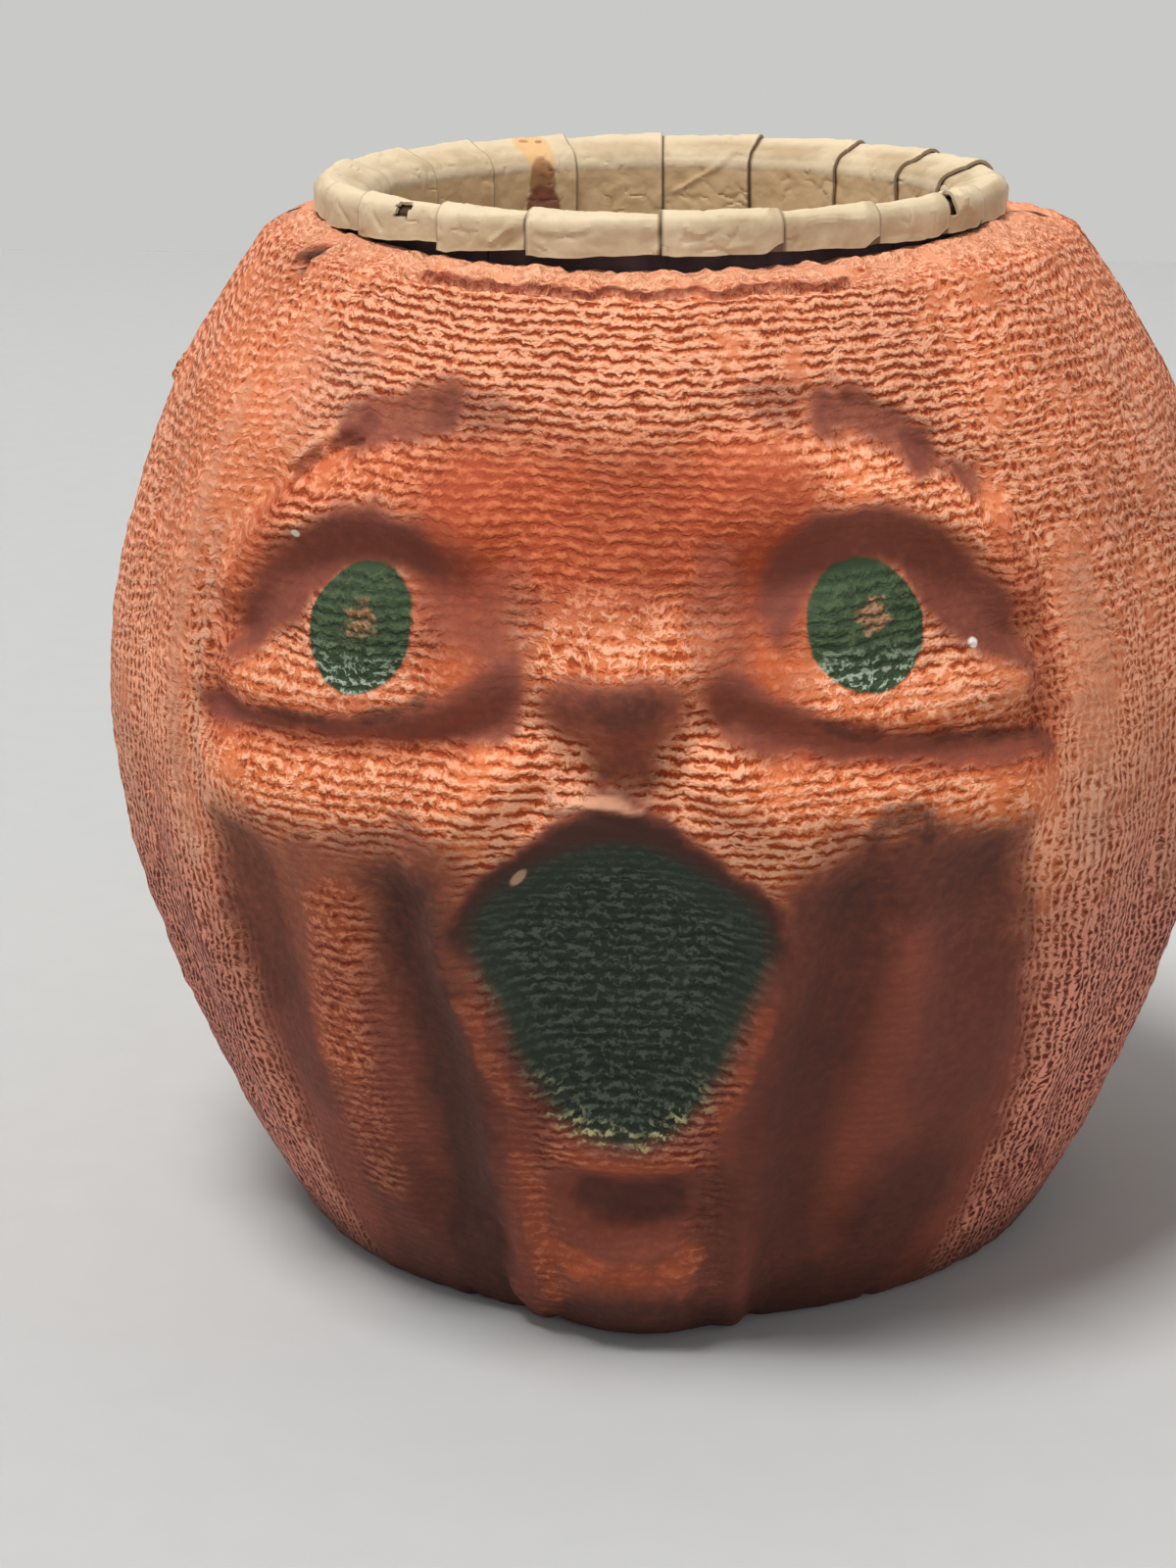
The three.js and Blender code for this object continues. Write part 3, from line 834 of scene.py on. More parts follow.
@dataclass(frozen=True)
class DarkPaper:
    """Faded purple-grey paper round the cup, matte and a little rubbed, with a mottle of 2 mm."""

    dark: str = "#533E40"
    rubbed: str = "#6A5456"
    mottle: float = 2.0
    sheen: Sheen = Sheen(0.05, 0.8, 0.3)

    def build(self) -> Material:
        """Makes the material.

        Returns:
            The Blender material.
        """
        material, tree = new_material("faded_dark_paper")
        place = add(tree, "TexCoord", output="Object")
        mottle = add(tree, "TexNoise", place, lump_scale(self.mottle), 5.0, 0.6)
        share = add(tree, "MapRange", mottle, 0.4, 0.7, 0.0, 1.0)
        colour = add(tree, "Mix", share, linear(self.dark), linear(self.rubbed), data_type="RGBA")
        finish_material(tree, colour, mottle, self.sheen)
        return material


@dataclass(frozen=True)
class GreyBoard:
    """Plain grey-tan pulp board with fine specks of fibre, 0.4 mm across."""

    name: str = "grey_pulp_board"
    light: str = "#B4A488"
    dark: str = "#8A7A60"
    fleck: str = "#5C4E3C"
    mottle: float = 2.857
    speck: float = 0.4167
    sheen: Sheen = Sheen(0.08, 0.88, 0.25)

    def build(self) -> Material:
        """Makes the material.

        Returns:
            The Blender material.
        """
        material, tree = new_material(self.name)
        place = add(tree, "TexCoord", output="Object")
        mottle = add(tree, "TexNoise", place, lump_scale(self.mottle), 5.0, 0.6)
        specks = add(tree, "TexNoise", place, lump_scale(self.speck), 1.0)
        share = add(tree, "MapRange", mottle, 0.35, 0.68, 0.0, 1.0)
        colour = add(tree, "Mix", share, linear(self.dark), linear(self.light), data_type="RGBA")
        there = add(tree, "MapRange", specks, 0.66, 0.72, 0.0, 0.7)
        colour = add(tree, "Mix", there, colour, linear(self.fleck), data_type="RGBA")
        finish_material(tree, colour, mottle, self.sheen)
        return material


# The head


@dataclass(frozen=True)
class HeadForm:
    """The head's surface: the plain pumpkin, its ribs and the pressed face, in millimetres.

    A scar is a torn or folded bit of cloth: how far it stands out, its half width and its places. A notch is
    worn into the bottom edge: its place, half width and depth. The edge's low and high are the heights that
    the rows over the shoulder stand for where paint is laid by height.
    """

    base_radius: float = 23.5
    belly_radius: float = 34.85
    belly_height: float = 34.0
    shoulder_height: float = 61.2
    shoulder_radius: float = 24.4
    opening_radius: float = 19.95
    opening_rise: float = 0.7
    opening_offset: float = -0.7
    opening_sag: float = 1.3
    wall: float = 1.6
    rib_count: int = 18
    rib_depth: float = 0.8
    thread: float = 0.68
    shoulder_width: float = 4.5
    edge_low: float = 61.5
    edge_high: float = 65.5
    rim_rows: int = 21
    lip_rows: int = 3
    lip_turn: float = 0.02
    lip_fall: float = 0.35
    lip_fray: float = 0.1
    mouth_half: tuple = (
        (0, 33.2), (5.4, 30.9), (8.3, 27.3), (7.2, 22.6), (5.6, 18.4), (3.2, 15.1), (0, 13.9),
    )
    notches: tuple = ((-6.9, 1.0, 0.6), (-15.5, 0.8, 0.4), (9.5, 1.3, 0.5), (21, 0.9, 0.5))
    scars: tuple = (
        (0.5, 0.6, ((-23.4, 51.2), (-21.6, 52.6), (-19.4, 53.5))),
        (-0.4, 0.5, ((-22.8, 50.2), (-20.8, 51.6), (-18.4, 52.7))),
        (0.2, 0.6, ((14.0, 56.4), (17.4, 55.6), (20.2, 54.0))),
        (-0.2, 0.5, ((18.4, 53.4), (20.4, 52.2), (22.0, 50.8))),
        (0.35, 0.55, ((-3.6, 35.0), (-1.6, 35.4), (0.8, 35.2))),
        (-1.8, 1.0, ((-33.4, 60.9), (-32.8, 60.6))),
        (0.3, 0.8, ((-4.2, 5.0), (-2.4, 5.6))),
        (0.28, 0.7, ((2.2, 5.8), (3.8, 5.2))),
        (0.25, 0.6, ((-5.2, 8.6), (-4.4, 10.4))),
        (-0.2, 0.5, ((-1.4, 4.6), (0.6, 4.4))),
        (-0.3, 0.35, ((-33.2, 60.2), (-34.2, 58.6), (-33.8, 57.0))),
        (-0.4, 0.35, ((0.3, 56.2), (0.6, 55.7))),
        (0.3, 0.5, ((12.8, 33.8), (14.2, 33.3), (15.8, 33.6))),
        (-0.3, 0.4, ((13.4, 32.6), (14.8, 32.4))),
        (0.35, 0.5, ((-47.6, 53.8), (-48.4, 52.6))),
        (-0.3, 0.4, ((-47.4, 53.0), (-48.0, 51.8))),
        (0.25, 0.5, ((-15.6, 20.2), (-14.2, 21.0), (-13.4, 20.4))),
    )

    @staticmethod
    def eye_places() -> tuple:
        """Places of the left and the right eye."""
        return (-15.4, 43.4), (13.8, 44.2)

    def folds(self) -> list:
        """Ridges and grooves of the face.

        Returns:
            Each one's rise, half width and chain of places.
        """
        found = []
        # Brow, lid and cheek round each eye, with places that run outwards from the nose's side to the temple's
        for (eye_across, eye_up), side in zip(self.eye_places(), (-1, 1)):
            for rise, half, places in (
                (1.05, 3.2, [(9.6, 1.4), (6.8, 4.8), (0.5, 6.4), (-6.8, 6.2)]),
                (-0.525, 2.2, [(9.4, 6.2), (4.6, 9.6), (-2, 10.8), (-8.6, 10.2)]),
                (-0.72, 2.6, [(8.4, -0.8), (5.8, 2.4), (0.2, 3.8), (-5.6, 2)]),
                (0.75, 2.3, [(9.2, -3.8), (0, -4.6), (-5, -3.4), (-8.4, -1.4)]),
                (-0.375, 1.9, [(10.4, -5.8), (2.1, -6.6), (-4.5, -5.8), (-8.6, -4.4)]),
                (1.35, 5.0, [(8.6, -10), (0, -10), (-7.4, -8.8)]),
            ):
                placed = [(eye_across + side * out, eye_up + up) for out, up in places]
                found.append((rise, half, smooth_chain(placed)))
        # The fold from the nose down round the mouth, and the hollow beside it
        for side in (-1, 1):
            for rise, half, places in (
                (0.85, 2.7, [(5.6, 36.8), (8.8, 33), (10.6, 27.4), (8.8, 19), (8.2, 10), (8.2, 1)]),
                (-1.2, 4.2, [(13.5, 28), (12.7, 17), (14.1, 7), (14.5, 0)]),
            ):
                found.append((rise, half, smooth_chain([(side * out, up) for out, up in places])))
        return found

    def hills(self) -> list:
        """Round rises and hollows of the face.

        Returns:
            Each one's rise, place and half sizes.
        """
        left, right = self.eye_places()
        return [
            (2.2, (0, 42), (6.6, 5)),
            (0.85, (0, 41), (4.2, 3.2)),
            (-0.3, (0, 37.4), (3.6, 2.4)),
            (0.8, (0, 35.2), (4.6, 2.8)),
            (-0.9, left, (9.6, 6)),
            (-0.9, right, (9.6, 6)),
            (1.1, left, (5.8, 5.2)),
            (1.1, right, (5.8, 5.2)),
            (-1.2, (-23, 25.5), (5.2, 10.5)),
            (-1.2, (21, 25.5), (5.4, 10.5)),
            (-1.1, (0, 9.8), (6, 3.6)),
            (2.8, (0, 3.4), (11.5, 9)),
        ]

    def mouth_distance(self, across: Array, up: Array) -> Array:
        """Distance outside the mouth's edge, negative inside it."""
        places = [*self.mouth_half, *((-a, u) for a, u in self.mouth_half[-2:0:-1])]
        return signed_distance(across, up, smooth_chain(places, closed=True))

    def face_relief(self, across: Array, up: Array) -> Array:
        """Height of the pressed face over the plain pumpkin.

        Args:
            across: places across the face.
            up: places up the face.

        Returns:
            The height at each place.
        """
        rise = np.zeros(across.shape)
        chin = 1 - smooth_step(9, 17, up + 0.25 * np.abs(across))
        across = across + 0.8 * chin * cloud(across, up, 2.8, 49)
        for top, half, chain in self.folds():
            rise += top * hill(chain_distance(across, up, chain) / half)
        for top, at, half in self.hills():
            rise += top * hill(np.hypot((across - at[0]) / half[0], (up - at[1]) / half[1]))
        out = self.mouth_distance(across, up)
        rise -= 1.7 * (1 - smooth_step(-3.4, 0.6, out))
        return rise + 0.6 * hill(np.abs(out - 1.1) / 2.2)

    def rib_valley(self, angle: Array, up: Array) -> Array:
        """Depth of the valleys between the pumpkin's ribs.

        Args:
            angle: angles from the face's middle.
            up: heights.

        Returns:
            The depth at each place.
        """
        across = smooth_step(21, 28, np.abs(angle) * self.belly_radius)
        ends = smooth_step(6, 14, up) * (1 - smooth_step(46, 54, up))
        return self.rib_depth * across * ends * (1 - np.cos(self.rib_count * (angle - np.pi / 2))) / 2

    def plain_radius(self, up: Array) -> Array:
        """Radius of the plain pumpkin at a height.

        Args:
            up: heights.

        Returns:
            The radius at each height.
        """
        low = np.clip((self.belly_height - up) / self.belly_height, 0, None)
        high = np.clip((up - self.belly_height) / (self.shoulder_height - self.belly_height), 0, None)
        under = (self.belly_radius - self.base_radius) * low**1.78
        return self.belly_radius - under - (self.belly_radius - self.shoulder_radius) * high**2

    def pressed(self, angle: Array, up: Array) -> Array:
        """How far the face and the ribs stand out of the plain pumpkin."""
        relief = self.face_relief(angle * self.belly_radius, up) - self.rib_valley(angle, up)
        return np.where(relief < 0, relief * smooth_step(3.2, 8.2, up), relief)

    def crumple(self, across: Array, up: Array) -> Array:
        """Small lumps, folds and creases of the cloth that the mould didn't press flat.

        Args:
            across: places across the face.
            up: places up the face.

        Returns:
            How far each place stands out.
        """
        lumps = 0.1 * cloud(across, up, 4.5, 3) + 0.05 * cloud(across, up * 1.6, 1.7, 5)
        chin = (1 - smooth_step(5, 9, np.abs(across))) * (1 - smooth_step(9, 13, up))
        lumps += 0.2 * chin * cloud(across, up, 1.5, 48)
        side = smooth_step(22, 28, np.abs(across))
        wrinkles = 0.1 * side * (np.abs(cloud(across + 0.4 * up, up, 1.9, 7)) - 0.3)
        scars = np.zeros(across.shape)
        for rise, half, places in self.scars:
            chain = smooth_chain(places)
            far = chain_distance(across, up, chain) + 0.15 * cloud(across, up, 0.9, 17)
            scars += rise * hill(far / half)
        return (lumps + wrinkles + scars) * smooth_step(0.2, 2.0, up)

    def sag(self, angle: Array) -> Array:
        """How far the opening sags between its high points at the two sides."""
        return self.opening_sag * np.cos(angle) ** 2

    def outer(self, angles: Array, rows: int) -> tuple[Array, Array]:
        """The outer face by column and row, from the base up to the lip of the opening.

        Args:
            angles: the columns' angles in radians.
            rows: steps up the body.

        Returns:
            The points, and the height up the body that each row stands for.
        """
        share = np.linspace(0, 1, rows + 1)
        angle, up = np.meshgrid(angles, share * self.shoulder_height, indexing="ij")
        across = angle * self.belly_radius
        radius = self.plain_radius(up) + self.pressed(angle, up) + self.crumple(across, up)
        # The bottom edge is rounded and worn, and only the top of the body sags
        radius -= 0.3 * (1 - smooth_step(0, 0.35, up)) + self.worn_foot(across) * (1 - smooth_step(0.2, 1.3, up))
        height = up - self.sag(angle) * share[None, :] ** 6
        body = around(angle, radius, height)
        edge = around(angles, self.opening_radius, self.opening_rise + self.shoulder_height - self.sag(angles))
        edge[:, 0] += self.opening_offset
        steps = np.linspace(0, 1, self.rim_rows + 1)[1:, None]
        rim = body[:, -1, None] * (1 - steps) + edge[:, None] * steps
        place = angles[:, None] * self.belly_radius
        rim[..., 2] += self.opening_rise / 2 * np.sin(np.pi * steps.T) + self.rolled_lip(place, steps.T)
        outwards = around(angles, 1.0, 0.0)[:, None]
        lip = np.linspace(0, 1, self.lip_rows + 1)[1:, None]
        frayed = self.lip_fray + 0.12 * cloud(place, 0 * place, 1.2, 25)[..., None]
        fall = np.array([0, 0, 1.0]) * (self.lip_fall * lip + frayed * lip)
        turn = rim[:, -1, None] - outwards * self.lip_turn * lip - fall
        points = np.concatenate([body, rim, turn], axis=1)
        over = np.linspace(self.edge_low, self.edge_high, self.rim_rows + self.lip_rows)
        return points, np.concatenate([up[0], over])

    def rolled_lip(self, across: Array, share: Array) -> Array:
        """Lumps and cracks of the torn cloth that is rolled over the shoulder.

        Args:
            across: places round the shoulder in millimetres.
            share: places from the shoulder, 0, to the opening's edge, 1.

        Returns:
            Heights over the smooth shoulder.
        """
        front = np.cos(across / self.belly_radius) ** 2
        inwards = share * self.shoulder_width
        roll = (0.15 + 0.25 * front) * smooth_step(0.45, 0.7, share) * (1 + 0.5 * cloud(across, inwards, 2.2, 21))
        torn = 1 + 0.5 * hill(np.abs(across - 38) / 16)
        lumps = 0.26 * cloud(across, inwards, 2.0, 24, 2) + 0.1 * np.abs(cloud(across, inwards, 1.2, 26))
        rounded = np.sin(np.pi * np.clip(share, 0, 1)) ** 0.5
        return roll - 0.55 * self.crack(across, share) + torn * lumps * rounded

    def crack(self, across: Array, share: Array) -> Array:
        """Where the crack under the rolled cloth runs.

        Args:
            across: places round the shoulder in millimetres.
            share: places from the shoulder, 0, to the opening's edge, 1.

        Returns:
            1 in the crack's middle, and 0 off it and behind the head.
        """
        line = 0.2 + 0.07 * cloud(across, share * 0, 3.0, 22) + 0.03 * cloud(across, share * 0, 1.0, 27)
        shut = 2.2 * smooth_step(14, 25, np.abs(across)) - 1.1
        open_here = smooth_step(-0.1, 0.4, cloud(across, share * 0, 3.0, 23) - shut)
        return open_here * hill(np.abs(share - line) / 0.11)

    def worn_foot(self, across: Array) -> Array:
        """How far the bottom edge is worn in, with its notches.

        Args:
            across: places across the face.

        Returns:
            The wear at each place.
        """
        worn = 0.14 * (1 + cloud(across, across * 0, 2.2, 31))
        for at, half, deep in self.notches:
            worn = worn + deep * hill(np.abs(across - at) / half)
        return worn

    def lining(self, angles: Array, outer: Array, rows: int, ratio: int) -> Array:
        """The inner face under an outer one, with fewer columns and rows.

        Args:
            angles: the outer columns' angles.
            outer: the outer points.
            rows: steps up the body of the outer face.
            ratio: outer columns and rows to one inner one.

        Returns:
            The inner points by column and row.
        """
        total = outer.shape[1] - 1
        up = np.linspace(0, self.shoulder_height, rows + 1)
        relief = self.pressed(*np.meshgrid(angles, up, indexing="ij"))
        steps = np.arange(0, total + 1, ratio)
        body = [j for j in steps if j <= rows]
        columns = range(0, len(angles), ratio)
        inner = np.zeros((len(columns), len(steps), 3))
        for i, column in enumerate(columns):
            beside = slice(max(0, column - ratio), column + ratio + 1)
            for k, j in enumerate(body):
                # The lowest relief near by keeps the wall from thinning, and the drop keeps it thick at the shoulder
                near = relief[beside, max(0, j - ratio) : j + ratio + 1].min()
                drop = self.wall * (j / rows) ** 4
                radius = self.plain_radius(np.float64(up[j] - drop)) + near - self.wall
                height = outer[column, j, 2] - drop
                inner[i, k] = around(angles[column], radius, height)
            start = inner[i, len(body) - 1]
            end = outer[column, -1] - (0, 0, self.wall - self.lip_fall - self.lip_fray)
            rest = len(steps) - len(body)
            share = np.arange(1, rest + 1)[:, None] / rest
            inner[i, len(body) :] = start * (1 - share) + end * share
        return inner


@dataclass(frozen=True)
class Stroke:
    """A soft brush or spray stroke: how strong, how wide to each side, and through which places."""

    strength: float
    half: float
    places: tuple


@dataclass(frozen=True)
class Patch:
    """A sprayed patch: how strong, how soft its edge is in millimetres, and its outline."""

    strength: float
    soft: float
    outline: tuple


@dataclass(frozen=True)
class FacePaint:
    """Where the head is sprayed brown, brushed, faded and worn, with painted light and shade, in face millimetres."""

    brown_strokes: tuple = (
        Stroke(0.75, 1.8, ((-18.6, 53.6), (-15.6, 54.8), (-13.0, 55.1))),
        Stroke(0.35, 1.4, ((-12.4, 55.2), (-8.4, 55))),
        Stroke(0.7, 0.6, ((-22.8, 50.9), (-20.6, 52.2), (-18.2, 53.4))),
        Stroke(0.35, 1.3, ((9, 56), (13, 55.8))),
        Stroke(0.75, 1.4, ((13.0, 55.5), (16.4, 54.5), (19, 53))),
        Stroke(0.8, 0.9, ((18.8, 53.1), (21.8, 50.9))),
        Stroke(0.45, 1.8, ((-6.2, 46), (-5.8, 42))),
        Stroke(0.5, 1.9, ((5.4, 47), (5.4, 44), (5.8, 41))),
        Stroke(0.5, 1.7, ((-1.8, 41.0), (1.8, 41))),
        Stroke(0.4, 1.8, ((0.5, 38.6), (0.4, 36.8))),
        Stroke(0.85, 2.2, ((-3.0, 10.8), (0, 10.4), (3.2, 10.8))),
        Stroke(0.5, 5.5, ((-1, 8), (0, 2))),
        Stroke(0.5, 1.4, ((-10.6, 33), (-9.4, 31.4))),
    )
    # Darker spray, and painted shade in the shoulder hole, under the nose, in the lid creases, in the grooves and under
    # the chin
    dark_spray_and_shade_strokes: tuple = (
        Stroke(0.4, 2.6, ((-25.0, 29.0), (-25.0, 26), (-24, 21.5))),
        Stroke(0.3, 2.6, ((-23.4, 20), (-22.4, 15))),
        Stroke(0.8, 3.2, ((-12.2, 28.2), (-11.8, 25), (-11, 20), (-11, 14), (-12, 8), (-13, 3), (-13.6, 0))),
        Stroke(0.5, 4.0, ((-17.5, 8), (-19, 2), (-19, 0))),
        Stroke(0.7, 1.5, ((-2.4, 10.4), (0, 9.8), (2.8, 10.4))),
        Stroke(0.8, 2.4, ((-4.5, 0.8), (0, 1.6), (5.5, 1.0))),
        Stroke(0.5, 1.5, ((-5.6, 20), (-4.6, 17))),
        Stroke(0.6, 3.6, ((12.4, 28), (11.6, 22), (10.8, 15), (11, 8), (11.8, 0))),
        Stroke(0.3, 4.0, ((21, 29), (22, 23), (21.6, 17))),
        Stroke(0.6, 4.5, ((20.5, 9), (18, 3), (14, 0))),
        Stroke(0.4, 3.0, ((14, 30), (20, 30.5))),
        Stroke(0.6, 0.8, ((13.2, 33.4), (15.0, 34.4), (16.6, 33.2))),
        Stroke(0.35, 1.3, ((-0.2, 41), (1.2, 40.9))),
        Stroke(1.0, 1.1, ((-33.4, 61.2), (-32.8, 60.7))),
        Stroke(0.5, 1.8, ((6.0, 11), (6.0, 2))),
        Stroke(0.55, 0.3, ((-21, 38.2), (-15, 38.8), (-10.6, 40.0))),
        Stroke(0.55, 0.3, ((10.6, 39.5), (15, 38.4), (24, 37.5))),
    )
    # Painted highlight on the brows, lids, cheek ridges, nose top and folds that face up, over a brighter orange paint
    bright_paint_and_highlight_strokes: tuple = (
        Stroke(0.2, 1.6, ((-22, 49.6), (-17, 51.4), (-11, 51.6))),
        Stroke(0.4, 1.8, ((9, 52.2), (16, 51.6), (21.6, 48.8))),
        Stroke(0.8, 1.5, ((-23.4, 40.4), (-17, 39.8), (-11, 41.0), (-8, 42.6))),
        Stroke(0.8, 1.5, ((7.4, 42.4), (10, 41.0), (15, 40.2), (21.8, 40.0))),
        Stroke(0.8, 2.6, ((-24, 34.6), (-17, 35.2), (-9, 36.2), (-5, 36))),
        Stroke(0.8, 2.6, ((4.5, 36.4), (9, 36), (16, 35.2), (22.6, 34.6))),
        Stroke(0.8, 3.2, ((-2.2, 44.4), (2.4, 44.4))),
        Stroke(0.9, 1.8, ((-5.6, 36), (-8.6, 32.6))),
        Stroke(0.9, 1.8, ((5.6, 36), (8.8, 31.6))),
    )
    rust_strokes: tuple = (
        Stroke(0.95, 4.6, ((-9, 49.4), (0, 49.6), (8, 49.6))),
        Stroke(0.4, 1.8, ((-22, 50.6), (-17, 51.8), (-10, 52))),
        Stroke(0.6, 3.0, ((-10, 45), (-8, 42))),
        Stroke(0.6, 3.0, ((9, 46), (7.6, 42))),
        Stroke(0.6, 2.0, ((-26, 38), (-25, 42), (-23, 48.5))),
        Stroke(0.6, 1.8, ((24.6, 38), (24.8, 42), (23, 47.4))),
        Stroke(0.7, 1.6, ((-26, 37.2), (-18, 37.8), (-9, 38.6))),
        Stroke(0.7, 1.6, ((8, 39), (16, 37.6), (24.6, 36.8))),
        Stroke(0.6, 1.1, ((-8.6, 23), (-6.8, 19.0), (-5.6, 14.6), (0, 12.2))),
        Stroke(0.6, 1.1, ((8.4, 23), (6.8, 19.0), (5.6, 14.6), (0, 12.2))),
        Stroke(0.6, 2.4, ((-7, 5.6), (0, 6.2), (7, 5.6))),
    )
    # Rubbed paint on the rib crests and upper sides, and painted highlight on the brow, lids, nose and upper lip
    worn_and_highlight_strokes: tuple = (
        Stroke(0.6, 0.9, ((-30.6, 54), (-30.4, 42), (-29.4, 28))),
        Stroke(0.5, 0.5, ((-28.0, 47), (-27.8, 38), (-27.4, 32))),
        Stroke(0.3, 0.9, ((-36.6, 50), (-36.8, 42), (-36.2, 34))),
        Stroke(0.5, 1.5, ((28.8, 45), (28.8, 38), (28.6, 30))),
        Stroke(0.3, 2.6, ((-41, 55), (-41.4, 40), (-40.8, 28))),
        Stroke(0.3, 2.6, ((41, 55), (41.4, 40), (40.8, 26))),
        Stroke(0.4, 2.6, ((-26, 57), (-24, 54.5), (-20.4, 56))),
        Stroke(0.2, 0.9, ((-22, 40.7), (-17, 39.9), (-11.5, 40.9))),
        Stroke(0.2, 0.9, ((9.6, 41.6), (15, 40.4), (21.5, 40.2))),
        Stroke(0.12, 2.0, ((-2.2, 44.6), (2.2, 44.6))),
        Stroke(0.5, 0.7, ((-23.2, 51.6), (-21, 53.2), (-19.6, 53.8))),
        Stroke(0.8, 0.5, ((-3.4, 35.1), (0.6, 35.4))),
    )
    clog_strokes: tuple = (
        Stroke(0.6, 4.4, ((-8, 50), (0, 50), (8, 50))),
        Stroke(0.7, 3.0, ((-10.6, 47.5), (-8.6, 45), (-7.6, 42))),
        Stroke(0.7, 3.0, ((9, 47), (8, 44), (7.4, 41.6))),
        Stroke(0.6, 1.2, ((-30.4, 54), (-30.2, 40), (-28.8, 30))),
        Stroke(0.5, 4.0, ((-27, 56), (-25.6, 47))),
        Stroke(0.6, 2.0, ((28.6, 46), (28.6, 36))),
        Stroke(0.4, 4.0, ((-35, 57), (-35, 46))),
        Stroke(0.75, 6.4, ((-1, 9), (0, 2))),
        Stroke(0.2, 3.2, ((-15.4, 45), (-15.4, 42.4))),
        Stroke(0.2, 3.2, ((13.8, 45.8), (13.8, 43.2))),
    )
    crinkle_strokes: tuple = (
        Stroke(0.35, 2.8, ((-24, 35.4), (-16, 35.6), (-9, 36.4))),
        Stroke(0.35, 2.8, ((9, 36.2), (16, 35.6), (23.6, 34.8))),
        Stroke(0.4, 1.9, ((-23.4, 40.6), (-17, 39.8), (-9, 41.6))),
        Stroke(0.4, 1.9, ((8, 41.8), (15, 40.2), (22, 40))),
        Stroke(0.5, 3.4, ((-2.4, 43.8), (2.4, 43.8))),
        Stroke(0.4, 3.0, ((-18.4, 29), (-18.8, 13))),
        Stroke(0.4, 4.0, ((-6, 5.5), (6, 5.5))),
        Stroke(0.45, 6.5, ((-1, 27), (1, 27), (0, 19))),
        Stroke(0.35, 3.4, ((-15.4, 44.6), (-15.4, 42.4))),
        Stroke(0.35, 3.4, ((13.8, 45.4), (13.8, 43.2))),
        Stroke(0.3, 2.2, ((-22, 53), (-17, 51.6), (-11, 51.8))),
        Stroke(0.3, 2.2, ((9, 52.2), (16, 51.6), (21.6, 48.8))),
    )
    # Bare cloth on two torn scars, with a painted highlight where they catch the light
    raw_and_highlight_strokes: tuple = (
        Stroke(0.6, 0.2, ((-3.0, 35.2), (-1, 35.6), (1.2, 35.2))),
        Stroke(0.5, 0.3, ((-23.0, 51.4), (-21.8, 52.5), (-20.4, 53.0))),
    )
    # Painted highlight along the ridges of the chin, the lower lip, the mouth's sides and the left hollow
    lower_ridge_highlight_strokes: tuple = (
        Stroke(0.4, 0.8, ((-6.8, 12.6), (-6.6, 7.5), (-6.0, 3))),
        Stroke(0.6, 0.9, ((-5.4, 6.4), (-2, 5.4), (2, 5.4), (4.6, 6.4))),
        Stroke(0.6, 0.7, ((-4.4, 13.2), (0, 12.4), (4.2, 13.4))),
        Stroke(0.7, 2.2, ((-17.4, 27), (-18.2, 23), (-18.8, 18))),
        Stroke(0.3, 2.0, ((-18.8, 18), (-18.4, 13), (-19, 9))),
        Stroke(0.3, 0.5, ((-8.6, 23), (-8.0, 20), (-6.9, 17))),
        Stroke(0.3, 0.5, ((8.2, 23), (7.4, 20), (5.6, 15.2))),
        Stroke(0.08, 1.6, ((17.4, 26), (15.4, 16), (15, 8))),
    )
    eye_patches: tuple = (
        Patch(0.92, 0.7, (
            (-25.3, 40.6), (-24.2, 44.3), (-20.8, 47.9), (-17.8, 49.6), (-14.8, 50.2), (-11.8, 49.4), (-10.0, 47.4),
            (-11.5, 46.0), (-13.5, 46.6), (-15.4, 46.2), (-17.4, 46.0), (-18.8, 44.8), (-19.6, 43.2), (-21.5, 42.4),
            (-23.2, 40.8),
        )),
        Patch(0.6, 1.4, (
            (-12.0, 49.2), (-9.0, 48.2), (-7.2, 45.4), (-6.2, 42.8), (-8.4, 42.4), (-11.2, 43.4), (-12.4, 45.8),
        )),
        Patch(0.85, 0.5, (
            (-28, 38.3), (-25.2, 38.1), (-20.2, 38.2), (-15, 38.8), (-11.2, 39.8), (-8.2, 41.3), (-5.6, 42.8),
            (-5.0, 40.5), (-5.4, 38.8), (-8.2, 37.7), (-9.8, 38.0), (-12.8, 37.8), (-19, 37.4), (-27.2, 36.7),
        )),
        Patch(0.92, 0.7, (
            (7.4, 45.2), (8.6, 48.2), (11, 50.2), (13.8, 50.8), (17.4, 50.0), (20.8, 47.8), (23.2, 44.6), (23.8, 41.0),
            (21.4, 41.6), (18.8, 43.2), (17.4, 44.8), (16.4, 46.6), (13.8, 47.2), (11.4, 46.4), (10.2, 44.8), (8.8, 43),
        )),
        Patch(0.8, 0.5, (
            (5.2, 42.6), (8.2, 41.2), (11.2, 39.5), (15, 38.5), (20.2, 37.8), (25.2, 37.4), (25.4, 36.1), (19, 36.5),
            (12.8, 37.2), (9.8, 37.8), (8.2, 37.5), (5.3, 38.6), (4.8, 40.4),
        )),
        Patch(0.72, 0.7, (
            (-3.8, 41.8), (-1.0, 42.3), (1.4, 42.3), (3.6, 41.8), (4.0, 40.2), (2.6, 38.6), (1.9, 36.4), (-0.9, 36.4),
            (-1.9, 38.4), (-4.4, 40.0),
        )),
    )
    left_hollow: tuple = (
        (-25.9, 31.2), (-18, 32), (-12, 32.3), (-8, 31.4), (-7.4, 25), (-6.2, 19), (-5.4, 12), (-6.2, 6), (-7, -2),
        (-24, -2), (-26, 6), (-26.6, 12), (-26.6, 20), (-27.3, 25),
    )
